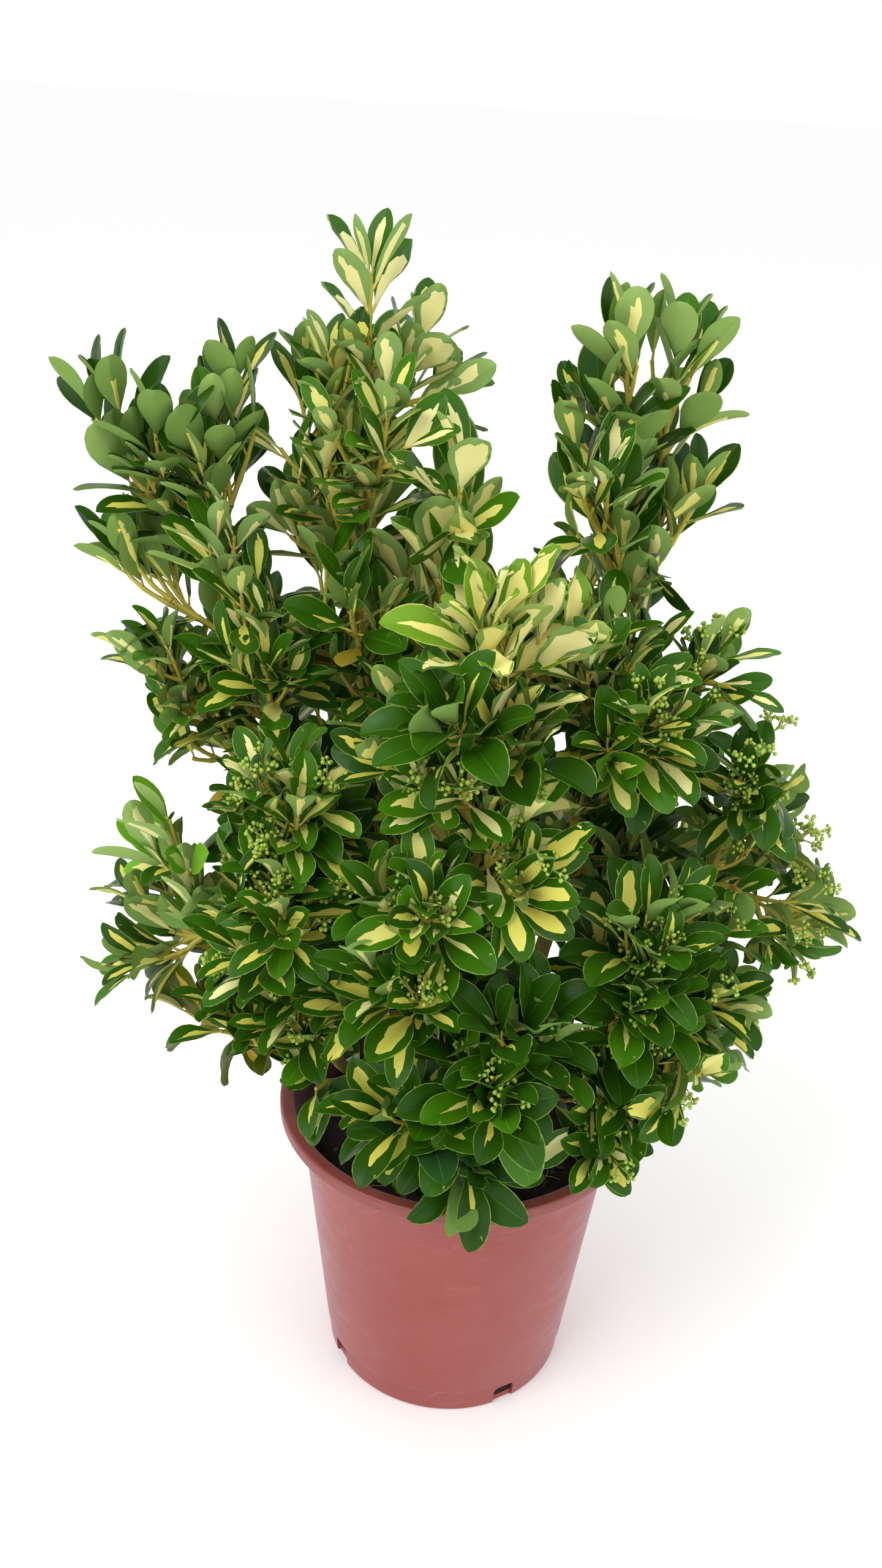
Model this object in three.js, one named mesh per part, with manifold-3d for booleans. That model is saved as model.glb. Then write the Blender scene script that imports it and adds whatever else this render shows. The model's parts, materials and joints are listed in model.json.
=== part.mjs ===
// Variegated Japanese spindle, an evergreen shrub with gold-splashed leaves, in a round plastic pot.
// Millimetres, +Z up. The origin is the centre of the pot's flat underside, and the shrub's front faces -Y.
import * as THREE from 'three';
import Module from 'manifold-3d';

const wasm = await Module();
wasm.setup();

// Pot: a moulded, tapered wall with a flat rim, a wider collar under it and a ring near the foot
const POT_HEIGHT = 243;
const RIM_RADIUS = 140;
const MOUTH_RADIUS = 130;
const RIM_DEPTH = 12;
const SHOULDER_RADIUS = 134;
const SHOULDER_DROP = 29;
const FOOT_RADIUS = 99;
const FOOT_RING_HEIGHT = 21;
const FOOT_RING_STEP = 1.2;
const POT_EDGE = 2;
const COLLAR_SLOPE = 3;
const COLLAR_BORE = 128.9;
const RIM_OVERHANG = 3.5;
const WALL = 2.6;
const FLOOR = 4;
const POT_SIDES = 40;
const DRAIN_WIDTH = 18;
const DRAIN_HEIGHT = 17;
const DRAIN_DEPTH = 16;
const DRAIN_COUNT = 4;
const DRAIN_TURN = -148;

// Compost, up to a little below the rim
const SOIL_TOP = 215;
const SOIL_CLEARANCE = 2;
const SOIL_EDGE_DROP = 6;
const SOIL_EDGE_WIDTH = 8;
const FIT_GAP = 0.3;

// Limbs: sides of a section, lengths along one, and how far a stem's foot flares into the compost
const PLANT_SPAN = 1000;
const LIMB_SIDES = 6;
const LIMB_RINGS = 4;
const FOOT_RINGS = 3;
const LIMB_PULL = 0.36;
const FLARE = 1.7;
const FLARE_LENGTH = 0.06;

// How a limb leaves and how it arrives: shares of its parent's direction, the straight line and straight up
const STEM_BEND = { leave: [0, 0.6, 0.5], arrive: [0, 0.5, 0.5] };
const TIP_BOUGH_BEND = { leave: [0.8, 0.4, 0], arrive: [0, 0.5, 0.5] };
const SIDE_BOUGH_BEND = { leave: [0.35, 0.8, 0], arrive: [0, 0.5, 0.5] };
const LEAD_BEND = { leave: [0.5, 0.8, 0], arrive: [0, 0.75, 0.35] };
const DROOPING_BEND = { leave: [0.5, 0.8, 0], arrive: [0, 0.75, -0.15] };
const DROOPING_BELOW = SOIL_TOP + 120;

// Twigs: leads run to the points that a mass reaches, and side twigs leave them on a spiral
const TWIG_SIDES = 3;
const LEAD_RINGS = 3;
const LEAD_RADIUS = 2.8;
const TWIG_RADIUS = 2.3;
const TWIG_END_RADIUS = 1.8;
const LEAD_FIRST = 0.1;
const LEAD_STEP = 0.12;
const UPRIGHT_SIDE = 30;
const SIDE_SPACING = { upright: 110, spreading: 58 };
const SIDE_FIRST = 0.32;
const SIDE_SPREAD = 0.5;
const SIDE_SPIRAL = 0.381966;
const SIDE_ANGLE = [38, 56];
const SIDE_TAPER = [1.15, 0.55];
const SIDE_VARIES = [0.75, 1.25];
const SIDE_COURSE = { leaving: 0.8, up: 0.28, axis: 0.1 };
const SIDE_ARRIVAL = { leaving: 0.5, up: 0.45, axis: 0.2 };

// Pairs of leaves: how far below the last each stands, from the tip down, and the part of a twig that is bare
const PAIR_GAPS = { upright: [3, 10, 15, 19, 22, 25], spreading: [3, 9, 14, 20, 26, 32] };
const PAIR_GAP_VARIES = [0.9, 1.1];
const SIDE_PAIRS = 2;
const LEAFY_SHARE = { lead: 0.7, side: 0.85 };

// Leaves, in degrees from the twig for the first pair, more for each pair below it, and the most
const LEAF_PITCH = { upright: [20, 9, 46], spreading: [30, 15, 80] };
const PITCH_VARIES = 16;
const TURN_VARIES = 24;
const TWIST_VARIES = 36;
const FACE_LIFT = 0.25;
const FIRST_LEAF_SIZE = 0.72;
const LEAF_SIZE_STEP = 0.14;
const LEAF_SIZE_VARIES = [0.85, 1.15];

// A leaf's blade: a blunt tip, a low arch along its length and a keel under it, as shares of its length
const LEAF_LENGTH = 47;
const LEAF_STALK = 5;
const LEAF_ROOT = 0.3;
const LEAF_HALF_WIDTH = 0.29;
const LEAF_TIP_HALF_WIDTH = 0.13;
const LEAF_WIDEST = 0.6;
const LEAF_SHOULDER = 0.94;
const LEAF_THICKNESS = 0.03;
const LEAF_FOLD = 0.05;
const LEAF_CURL = 0.05;
const LEAF_FACES = [[0, 4, 1], [4, 3, 1], [3, 2, 1], [4, 0, 5], [3, 4, 5], [2, 3, 5], [1, 2, 5], [0, 1, 5]];

// A lead stops short of its point by a leaf, and a leaf is made the largest of these sizes that has room
const LEAF_REACH = 38;
const LEAF_SCALES = {
  upright: [1.15, 0.95, 0.75],
  top: [1.5, 1.25, 1, 0.8],
  lower: [2.1, 1.8, 1.5, 1.2, 0.9],
};
const CLEARANCE = 2;
const LIMB_CLEARANCE = 6;
const LEAD_MARKS = 10;
const LEAD_MARKS_FROM = 0.25;
const LIMB_MARKS = 25;

// Stems rise from the compost: foot [x, y], top [x, y, z], radius at the foot and at the top
const STEMS = {
  stem_left: { foot: [-40, 5], top: [-150, 5, 560], radii: [6.5, 4.6] },
  stem_centre: { foot: [-14, 18], top: [-75, 10, 610], radii: [7, 4.4] },
  stem_right: { foot: [34, 14], top: [86, 10, 570], radii: [7, 4.6] },
  stem_front: { foot: [2, -34], top: [-12, -85, 430], radii: [5.5, 3.8] },
  stem_front_left: { foot: [-40, -32], top: [-115, -75, 370], radii: [5.2, 3.6] },
  stem_front_right: { foot: [42, -30], top: [110, -70, 370], radii: [5.2, 3.6] },
  stem_back: { foot: [0, 52], top: [5, 110, 440], radii: [6, 4.2] },
};

// Boughs leave a stem at a share of its length
const BOUGHS = {
  bough_left: { from: 'stem_left', at: 1, top: [-185, 0, 645], radii: [4.4, 3.4] },
  bough_left_front: { from: 'stem_front_left', at: 0.8, top: [-190, -40, 425], radii: [3.2, 2.6] },
  bough_centre: { from: 'stem_centre', at: 1, top: [-85, 5, 765], radii: [4.2, 3] },
  bough_centre_right: { from: 'stem_centre', at: 0.86, top: [-25, -20, 690], radii: [3.4, 2.6] },
  bough_right: { from: 'stem_right', at: 1, top: [75, 0, 730], radii: [4.4, 3.2] },
  bough_right_outer: { from: 'stem_right', at: 0.93, top: [105, 15, 730], radii: [3.4, 2.6] },
  bough_right_high: { from: 'stem_right', at: 0.62, top: [140, 0, 595], radii: [3.6, 2.8] },
  bough_right_low: { from: 'stem_front_right', at: 0.9, top: [175, -10, 480], radii: [3.4, 2.6] },
  bough_middle: { from: 'stem_front', at: 1, top: [20, -90, 580], radii: [3.6, 2.8] },
  bough_front_low: { from: 'stem_front', at: 0.38, top: [0, -105, 300], radii: [3.2, 2.6] },
};

// Masses of foliage: the limb each grows from, the length of its side twigs, the size of its leaves,
// its tone, and the points that its shoots reach
const MASSES = {
  left_leader: { from: 'bough_left', at: 1, side: 24, leaf: 1.1, tone: 'green',
    reach: [[-260, 0, 790], [-285, 10, 775], [-210, -35, 785]] },
  left_leader_inner: { from: 'bough_left', at: 0.82, side: 24, leaf: 1.15, tone: 'green',
    reach: [[-175, 5, 815], [-190, -25, 760]] },
  left_shoulder: { from: 'bough_left', at: 0.5, side: 24, leaf: 1.05, tone: 'green',
    reach: [[-260, -25, 705], [-275, -10, 675]] },
  left_middle: { from: 'stem_left', at: 0.78, side: 42, leaf: 0.95, tone: 'mix',
    reach: [[-240, -15, 610], [-240, 0, 550], [-240, 25, 620]] },
  left_inner: { from: 'stem_left', at: 0.9, side: 40, leaf: 0.95, tone: 'mix',
    reach: [[-150, -40, 690], [-140, -75, 640], [-185, -45, 725]] },
  left_front_upper: { from: 'stem_left', at: 0.62, side: 44, leaf: 0.95, tone: 'green',
    reach: [[-120, -110, 555], [-175, -70, 530]] },
  centre_top: { from: 'bough_centre', at: 1, side: 20, leaf: 1.1, tone: 'yellow',
    reach: [[-85, 0, 895]] },
  centre_top_right: { from: 'bough_centre', at: 0.84, side: 28, leaf: 1, tone: 'yellow',
    reach: [[-50, 25, 835], [-20, 45, 800]] },
  centre_front: { from: 'bough_centre', at: 0.55, side: 38, leaf: 0.95, tone: 'mix',
    reach: [[-65, -45, 805], [-115, -20, 780]] },
  centre_left: { from: 'stem_centre', at: 0.93, side: 34, leaf: 1, tone: 'mix',
    reach: [[-130, 40, 805], [-145, 25, 735]] },
  centre_low: { from: 'stem_centre', at: 0.76, side: 40, leaf: 0.95, tone: 'green',
    reach: [[-95, -60, 700], [-135, -15, 695]] },
  centre_yellow: { from: 'bough_centre_right', at: 1, side: 34, leaf: 1.25, tone: 'wide',
    reach: [[-20, -55, 790], [-5, -60, 740], [-28, -85, 710]] },
  middle_yellow: { from: 'bough_middle', at: 1, side: 38, leaf: 1.1, tone: 'wide',
    reach: [[5, -80, 695], [-30, -90, 685]] },
  middle_large: { from: 'bough_middle', at: 0.84, side: 42, leaf: 1.25, tone: 'green',
    reach: [[40, -130, 640], [-40, -120, 650]] },
  middle_low: { from: 'bough_middle', at: 0.6, side: 42, leaf: 1, tone: 'yellow',
    reach: [[-30, -135, 610], [-70, -100, 620]] },
  right_top_inner: { from: 'bough_right', at: 1, side: 24, leaf: 1.15, tone: 'green',
    reach: [[65, 0, 855], [45, -25, 815]] },
  right_top_outer: { from: 'bough_right_outer', at: 1, side: 24, leaf: 1.15, tone: 'green',
    reach: [[105, 15, 855], [145, 25, 805], [132, 0, 775]] },
  right_front: { from: 'bough_right', at: 0.7, side: 28, leaf: 1, tone: 'mix',
    reach: [[40, -55, 770], [25, -40, 720]] },
  right_side: { from: 'bough_right_outer', at: 0.6, side: 28, leaf: 1, tone: 'mix',
    reach: [[140, 30, 735], [118, -30, 695]] },
  right_shoulder: { from: 'bough_right_high', at: 1, side: 38, leaf: 0.95, tone: 'mix',
    reach: [[175, 5, 655], [200, -20, 605], [150, -25, 640]] },
  right_inner: { from: 'stem_right', at: 0.8, side: 42, leaf: 1, tone: 'mix',
    reach: [[95, -60, 660], [60, -80, 660], [115, -90, 615], [80, -110, 595]] },
  right_middle: { from: 'bough_right_low', at: 1, side: 42, leaf: 0.95, tone: 'green',
    reach: [[215, 5, 545], [245, 20, 475]] },
  right_outer: { from: 'bough_right_low', at: 0.82, side: 42, leaf: 0.95, tone: 'mix',
    reach: [[270, -10, 430], [195, -60, 465]] },
  right_low: { from: 'stem_front_right', at: 1, side: 44, leaf: 1, tone: 'mix',
    reach: [[205, -70, 410], [185, -85, 340], [163, -100, 300]] },
  front_right: { from: 'stem_front_right', at: 0.76, side: 46, leaf: 1, tone: 'green',
    reach: [[120, -125, 515], [120, -150, 440]] },
  front_right_low: { from: 'stem_front_right', at: 0.5, side: 42, leaf: 1, tone: 'mix',
    reach: [[130, -105, 300], [118, -130, 345]] },
  front_upper: { from: 'bough_middle', at: 0.34, side: 44, leaf: 1, tone: 'yellow',
    reach: [[30, -150, 560], [45, -175, 520]] },
  front_middle: { from: 'stem_front', at: 0.9, side: 46, leaf: 1, tone: 'mix',
    reach: [[-35, -170, 540], [-70, -160, 515]] },
  front_left_lower: { from: 'stem_front', at: 0.66, side: 46, leaf: 1, tone: 'yellow',
    reach: [[-60, -190, 465], [-100, -150, 420]] },
  front_lower: { from: 'bough_front_low', at: 1, side: 48, leaf: 1.05, tone: 'green',
    reach: [[55, -185, 455], [0, -175, 435]] },
  front_low: { from: 'bough_front_low', at: 0.72, side: 44, leaf: 1.05, tone: 'yellow',
    reach: [[-40, -180, 370], [15, -160, 360]] },
  front_rim: { from: 'bough_front_low', at: 0.4, side: 40, leaf: 1.1, tone: 'dark',
    reach: [[-5, -140, 265], [-80, -125, 295]] },
  left_front: { from: 'stem_front_left', at: 1, side: 46, leaf: 1, tone: 'green',
    reach: [[-130, -130, 500], [-120, -90, 590], [-175, -95, 465]] },
  left_fresh: { from: 'bough_left_front', at: 1, side: 36, leaf: 1.1, tone: 'fresh',
    reach: [[-230, -45, 510], [-195, -80, 485]] },
  left_outer: { from: 'bough_left_front', at: 0.78, side: 42, leaf: 1, tone: 'mix',
    reach: [[-250, -40, 400], [-250, -10, 440]] },
  left_low: { from: 'stem_front_left', at: 0.7, side: 40, leaf: 0.95, tone: 'dull',
    reach: [[-235, -55, 330], [-175, -90, 370], [-145, -95, 325]] },
  back_left: { from: 'stem_back', at: 0.88, side: 52, leaf: 1, tone: 'green',
    reach: [[-190, 130, 520], [-215, 110, 400]] },
  back_high: { from: 'stem_back', at: 1, side: 52, leaf: 1, tone: 'mix',
    reach: [[-115, 95, 680], [105, 95, 690], [-40, 150, 600], [60, 160, 560]] },
  back_left_low: { from: 'stem_back', at: 0.6, side: 52, leaf: 1, tone: 'green',
    reach: [[-120, 205, 400], [-150, 150, 310], [0, 225, 470]] },
  back_right: { from: 'stem_back', at: 0.8, side: 52, leaf: 1, tone: 'green',
    reach: [[190, 130, 520], [225, 100, 390]] },
  back_right_low: { from: 'stem_back', at: 0.48, side: 52, leaf: 1, tone: 'green',
    reach: [[110, 210, 400], [150, 150, 310], [-5, 200, 330]] },
};

const FINISHES = {
  pot: { color: 0xad5f58, roughness: 0.5, metalness: 0 },
  soil: { color: 0x2a1c18, roughness: 0.95, metalness: 0 },
  bark: { color: 0x8a6a3c, roughness: 0.8, metalness: 0 },
  green: { color: 0x2f6e2a, roughness: 0.4, metalness: 0 },
  mix: { color: 0x5f8a34, roughness: 0.4, metalness: 0 },
  yellow: { color: 0xa9ad4a, roughness: 0.4, metalness: 0 },
  wide: { color: 0xd0c868, roughness: 0.4, metalness: 0 },
  fresh: { color: 0x69a83a, roughness: 0.4, metalness: 0 },
  dull: { color: 0x5f6e3a, roughness: 0.5, metalness: 0 },
  dark: { color: 0x2a5a44, roughness: 0.5, metalness: 0 },
};

const SAME_PLACE = 0.001;
const massRows = Object.values(MASSES);
const UP = new THREE.Vector3(0, 0, 1);
const BACK = new THREE.Vector3(0, 1, 0);
const radians = THREE.MathUtils.degToRad;
const vector = (values) => new THREE.Vector3(...values);

// A repeatable number from 0 to 1 for a set of whole-number keys
function chance(...keys) {
  let mixed = 2166136261;
  for (const key of keys) {
    mixed = Math.imul(mixed ^ key, 16777619);
    mixed ^= mixed >>> 15;
    mixed = Math.imul(mixed, 2246822519);
    mixed ^= mixed >>> 13;
  }
  return (mixed >>> 0) / 4294967296;
}

// The unit vector of a weighted sum, given as vector and weight pairs
function blend(...pairs) {
  const sum = new THREE.Vector3();
  for (const [direction, weight] of pairs) sum.addScaledVector(direction, weight);
  return sum.normalize();
}

// A curve that leaves along one direction and arrives along another
function limbCurve(start, leaving, end, arriving) {
  const pull = start.distanceTo(end) * LIMB_PULL;
  return new THREE.CubicBezierCurve3(
    start,
    start.clone().addScaledVector(leaving, pull),
    end.clone().addScaledVector(arriving, -pull),
    end,
  );
}

// A limb's curve, bent by its shares of the parent's direction, the straight line and straight up
function bentCurve(start, end, parent, { leave, arrive }) {
  const ways = [parent, end.clone().sub(start).normalize(), UP];
  const mixed = (shares) => blend(...ways.map((way, i) => [way, shares[i]]));
  return limbCurve(start, mixed(leave), end, mixed(arrive));
}

// A value between the two ends of a range
const within = ([low, high], share) => low + (high - low) * share;

function solid(points, faces) {
  const mesh = new wasm.Mesh({
    numProp: 3,
    vertProperties: new Float32Array(points.flatMap((p) => [p.x, p.y, p.z])),
    triVerts: new Uint32Array(faces.flat()),
  });
  return new wasm.Manifold(mesh);
}

// A closed tube of flat-sided sections along a curve; grow widens and lengthens it all round
function tube(curve, radiusAt, sides, rings, grow = 0, turned = 0) {
  const points = [];
  const faces = [];
  for (let i = 0; i <= rings; i++) {
    const t = i / rings;
    const tangent = curve.getTangent(t);
    const centre = curve.getPoint(t);
    if (i === 0) centre.addScaledVector(tangent, -grow);
    if (i === rings) centre.addScaledVector(tangent, grow);
    const [across, upward] = frameAt(curve, t);
    const radius = radiusAt(t) + grow / Math.cos(Math.PI / sides);
    for (let s = 0; s < sides; s++) {
      const turn = turned + (2 * Math.PI * s) / sides;
      const out = across.clone().multiplyScalar(Math.cos(turn)).addScaledVector(upward, Math.sin(turn));
      points.push(centre.clone().addScaledVector(out, radius));
    }
  }
  for (let i = 0; i < rings; i++) {
    for (let s = 0; s < sides; s++) {
      const a = i * sides + s;
      const b = i * sides + ((s + 1) % sides);
      faces.push([a, b, b + sides], [a, b + sides, a + sides]);
    }
  }
  for (let s = 1; s < sides - 1; s++) {
    const last = rings * sides;
    faces.push([0, s + 1, s], [last, last + s, last + s + 1]);
  }
  return solid(points, faces);
}

// Two directions square to a curve, carried along it from its start
function frameAt(curve, t) {
  const tangent = curve.getTangent(t);
  const across = sideways(curve.getTangent(0))[0];
  across.addScaledVector(tangent, -across.dot(tangent)).normalize();
  return [across, new THREE.Vector3().crossVectors(tangent, across)];
}

// Two directions square to an axis and to each other
function sideways(axis) {
  const across = new THREE.Vector3().crossVectors(axis, UP);
  if (across.length() < 0.2) across.crossVectors(axis, BACK);
  across.normalize();
  return [across, new THREE.Vector3().crossVectors(axis, across)];
}

// The skeleton: every stem and bough as a curve with a radius at each share of its length
const limbs = {};

for (const [name, { foot, top, radii }] of Object.entries(STEMS)) {
  const start = new THREE.Vector3(foot[0], foot[1], SOIL_TOP + FIT_GAP);
  const radiusAt = (t) => within(radii, t) * (1 + (FLARE - 1) * Math.max(0, 1 - t / FLARE_LENGTH) ** 2);
  limbs[name] = { curve: bentCurve(start, vector(top), UP, STEM_BEND), radiusAt, stem: true };
}

for (const [name, { from, at, top, radii }] of Object.entries(BOUGHS)) {
  const parent = limbs[from].curve;
  const bend = at === 1 ? TIP_BOUGH_BEND : SIDE_BOUGH_BEND;
  const curve = bentCurve(parent.getPoint(at), vector(top), parent.getTangent(at), bend);
  limbs[name] = { curve, radiusAt: (t) => within(radii, t) };
}

// A limb as a solid: a stem's flared foot is cut level, just above the compost
function limbSolid({ curve, radiusAt, stem }, grow = 0) {
  const body = tube(curve, radiusAt, LIMB_SIDES, LIMB_RINGS + (stem ? FOOT_RINGS : 0), grow);
  if (!stem) return body;
  const ground = SOIL_TOP + FIT_GAP - grow;
  return body.intersect(box(PLANT_SPAN, PLANT_SPAN, PLANT_SPAN, 0, 0, ground + PLANT_SPAN / 2));
}

function box(width, depth, height, x, y, z, turn = 0) {
  const shape = new THREE.BoxGeometry(width, depth, height);
  shape.rotateZ(turn);
  shape.translate(x, y, z);
  return fromGeometry(shape);
}

// A geometry's triangles with its shared corners joined
function fromGeometry(geometry) {
  const place = geometry.getAttribute('position');
  const index = geometry.getIndex();
  const known = new Map();
  const points = [];
  const corners = [];
  for (let i = 0; i < (index ? index.count : place.count); i++) {
    const v = index ? index.getX(i) : i;
    const point = new THREE.Vector3().fromBufferAttribute(place, v);
    const key = point.toArray().map((value) => Math.round(value / SAME_PLACE)).join();
    if (!known.has(key)) {
      known.set(key, points.length);
      points.push(point);
    }
    corners.push(known.get(key));
  }
  const faces = [];
  for (let i = 0; i < corners.length; i += 3) {
    const [a, b, c] = corners.slice(i, i + 3);
    if (a !== b && b !== c && c !== a) faces.push([a, b, c]);
  }
  return solid(points, faces);
}

// The outermost shell of a joined solid: sealed hollows are filled and loose scraps dropped
function mainShell(manifold) {
  const { numProp, vertProperties, triVerts } = manifold.getMesh();
  const parent = Array.from({ length: vertProperties.length / numProp }, (_, i) => i);
  const root = (i) => {
    while (parent[i] !== i) i = parent[i] = parent[parent[i]];
    return i;
  };
  for (let i = 0; i < triVerts.length; i += 3) {
    parent[root(triVerts[i])] = root(triVerts[i + 1]);
    parent[root(triVerts[i])] = root(triVerts[i + 2]);
  }
  const shells = new Map();
  for (let i = 0; i < triVerts.length; i += 3) {
    const key = root(triVerts[i]);
    if (!shells.has(key)) shells.set(key, []);
    shells.get(key).push([triVerts[i], triVerts[i + 1], triVerts[i + 2]]);
  }
  const faces = [...shells.values()].sort((a, b) => b.length - a.length)[0];
  const points = [];
  const moved = new Map();
  const kept = faces.map((face) => face.map((v) => {
    if (!moved.has(v)) {
      moved.set(v, points.length);
      points.push(new THREE.Vector3().fromArray(vertProperties, v * numProp));
    }
    return moved.get(v);
  }));
  return { points, faces: kept };
}

function meshOf(name, manifold, finish) {
  const { points, faces } = mainShell(manifold);
  const geometry = new THREE.BufferGeometry();
  geometry.setFromPoints(points);
  geometry.setIndex(faces.flat());
  geometry.computeVertexNormals();
  const mesh = new THREE.Mesh(geometry, new THREE.MeshStandardMaterial(FINISHES[finish]));
  mesh.name = name;
  return mesh;
}

const isUpright = (massIndex) => massRows[massIndex].side <= UPRIGHT_SIDE;
const habit = (massIndex) => (isUpright(massIndex) ? 'upright' : 'spreading');

const twigOf = (curve, keys, lead) => (
  { curve, keys, lead, length: curve.getLength(), turned: 2 * Math.PI * chance(...keys, 7) }
);

// A mass's twigs: one lead to each point that it reaches, with side twigs off every lead
function twigsOf(massIndex) {
  const { from, at, leaf, reach } = massRows[massIndex];
  const leads = [];
  const sides = [];
  for (const [k, goal] of reach.entries()) {
    const parent = k ? leads[0].curve : limbs[from].curve;
    const t = k ? LEAD_FIRST + LEAD_STEP * k : at;
    const start = parent.getPoint(t);
    const end = vector(goal);
    end.addScaledVector(end.clone().sub(start).normalize(), -LEAF_REACH * leaf);
    const bend = goal[2] > DROOPING_BELOW ? LEAD_BEND : DROOPING_BEND;
    const lead = twigOf(bentCurve(start, end, parent.getTangent(t), bend), [massIndex, k], true);
    leads.push(lead);
    const count = Math.floor(lead.length / SIDE_SPACING[habit(massIndex)]);
    for (let j = 0; j < count; j++) sides.push(sideTwig(lead, j, count));
  }
  return [...leads, ...sides];
}

function sideTwig({ curve, keys }, j, count) {
  const t = SIDE_FIRST + (SIDE_SPREAD * (j + 0.5)) / count;
  const axis = curve.getTangent(t);
  const [across, upward] = sideways(axis);
  const turn = 2 * Math.PI * (SIDE_SPIRAL * j + chance(...keys, j, 1));
  const out = blend([across, Math.cos(turn)], [upward, Math.sin(turn)]);
  const angle = radians(within(SIDE_ANGLE, chance(...keys, j, 2)));
  const leaving = blend([axis, Math.cos(angle)], [out, Math.sin(angle)]);
  const taper = SIDE_TAPER[0] - SIDE_TAPER[1] * t;
  const length = massRows[keys[0]].side * taper * within(SIDE_VARIES, chance(...keys, j, 3));
  const start = curve.getPoint(t);
  const end = start.clone().addScaledVector(leaving, SIDE_COURSE.leaving * length)
    .addScaledVector(UP, SIDE_COURSE.up * length).addScaledVector(axis, SIDE_COURSE.axis * length);
  const arrival = SIDE_ARRIVAL;
  const arriving = blend([leaving, arrival.leaving], [UP, arrival.up], [axis, arrival.axis]);
  return twigOf(limbCurve(start, leaving, end, arriving), [...keys, j], false);
}

// A twig as a solid, turned so that a flat side faces its first leaf
function twigTube(twig, grow = 0) {
  const radii = [twig.lead ? LEAD_RADIUS : TWIG_RADIUS, TWIG_END_RADIUS];
  const turned = twig.turned + Math.PI / TWIG_SIDES;
  return tube(twig.curve, (t) => within(radii, t), TWIG_SIDES, twig.lead ? LEAD_RINGS : 1, grow, turned);
}

// Leaves stand in opposite pairs, each pair turned a quarter from the last, close together at the tip
function leavesOf(twig) {
  const { curve, keys, lead, length } = twig;
  const gaps = PAIR_GAPS[habit(keys[0])];
  const leaves = [];
  let down = 0;
  for (let n = 0; n < (lead ? gaps.length : SIDE_PAIRS); n++) {
    down += gaps[n] * within(PAIR_GAP_VARIES, chance(...keys, n, 8));
    if (down > length * LEAFY_SHARE[lead ? 'lead' : 'side']) break;
    const t = curve.getUtoTmapping(1 - down / length);
    for (const side of [0, 1]) leaves.push(leafAt(twig, t, n, side));
  }
  return leaves;
}

function leafAt({ curve, keys, turned }, t, pair, side) {
  const offCentre = (key) => chance(...keys, pair, side, key) - 0.5;
  const axis = curve.getTangent(t);
  const [across, upward] = frameAt(curve, t);
  const turn = turned + (pair * Math.PI) / 2 + side * Math.PI + radians(TURN_VARIES * offCentre(9));
  const out = blend([across, Math.cos(turn)], [upward, Math.sin(turn)]);
  const [first, step, most] = LEAF_PITCH[habit(keys[0])];
  const pitch = radians(Math.min(most, first + step * pair) + PITCH_VARIES * offCentre(10));
  const along = blend([axis, Math.cos(pitch)], [out, Math.sin(pitch)]);
  const face = blend([axis, Math.sin(pitch)], [out, -Math.cos(pitch)]);
  face.applyAxisAngle(along, radians(TWIST_VARIES * offCentre(11))).addScaledVector(UP, FACE_LIFT);
  face.addScaledVector(along, -face.dot(along)).normalize();
  const grown = Math.min(1, FIRST_LEAF_SIZE + LEAF_SIZE_STEP * pair);
  const varies = within(LEAF_SIZE_VARIES, chance(...keys, pair, side, 12));
  return { root: curve.getPoint(t), along, face, pair, size: grown * varies * massRows[keys[0]].leaf };
}

// A leaf's corners: root, right, right of the tip, left of the tip, left, and the keel
function leafPoints({ root, along, face, size }, enlarged) {
  const length = LEAF_LENGTH * size * enlarged;
  const across = new THREE.Vector3().crossVectors(face, along);
  const place = (forward, sideward, lift) => root.clone()
    .addScaledVector(along, forward).addScaledVector(across, sideward).addScaledVector(face, lift);
  const widest = LEAF_STALK + length * LEAF_WIDEST;
  const tip = LEAF_STALK + length * LEAF_SHOULDER;
  const arch = length * LEAF_FOLD;
  const curl = -length * LEAF_CURL;
  return [
    place(LEAF_ROOT, 0, 0),
    place(widest, length * LEAF_HALF_WIDTH, arch),
    place(tip, length * LEAF_TIP_HALF_WIDTH, curl),
    place(tip, -length * LEAF_TIP_HALF_WIDTH, curl),
    place(widest, -length * LEAF_HALF_WIDTH, arch),
    place(widest, 0, arch - length * LEAF_THICKNESS),
  ];
}

// Each mass keeps to the space that lies nearer to its own leads than to any other mass's
const evenly = (count, from) => Array.from({ length: count }, (_, i) => within([from, 1], i / (count - 1)));
const leadMarks = massRows.map((_, i) => twigsOf(i).filter(({ lead }) => lead)
  .flatMap(({ curve }) => evenly(LEAD_MARKS, LEAD_MARKS_FROM).map((t) => curve.getPoint(t))));
const limbMarks = Object.values(limbs).flatMap(({ curve, radiusAt }) => (
  evenly(LIMB_MARKS, 0).map((t) => ({ point: curve.getPoint(t), radius: radiusAt(t) }))
));

const nearest = (point, marks) => Math.min(...marks.map((mark) => mark.distanceTo(point)));

function insideSpace(point, massIndex) {
  const own = nearest(point, leadMarks[massIndex]);
  return leadMarks.every((marks, i) => i === massIndex || nearest(point, marks) - own > 2 * CLEARANCE);
}

const clearOfLimbs = (point) => limbMarks.every(
  (mark) => mark.point.distanceTo(point) > mark.radius + LIMB_CLEARANCE,
);

function outsidePot(point) {
  const radius = Math.hypot(point.x, point.y);
  if (point.z > POT_HEIGHT + CLEARANCE) return true;
  if (radius < MOUTH_RADIUS - 2 * CLEARANCE) return point.z > SOIL_TOP + SOIL_CLEARANCE;
  return radius > RIM_RADIUS + CLEARANCE;
}

const fits = (points, massIndex) => points.every(
  (point) => insideSpace(point, massIndex) && clearOfLimbs(point) && outsidePot(point),
);

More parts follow.
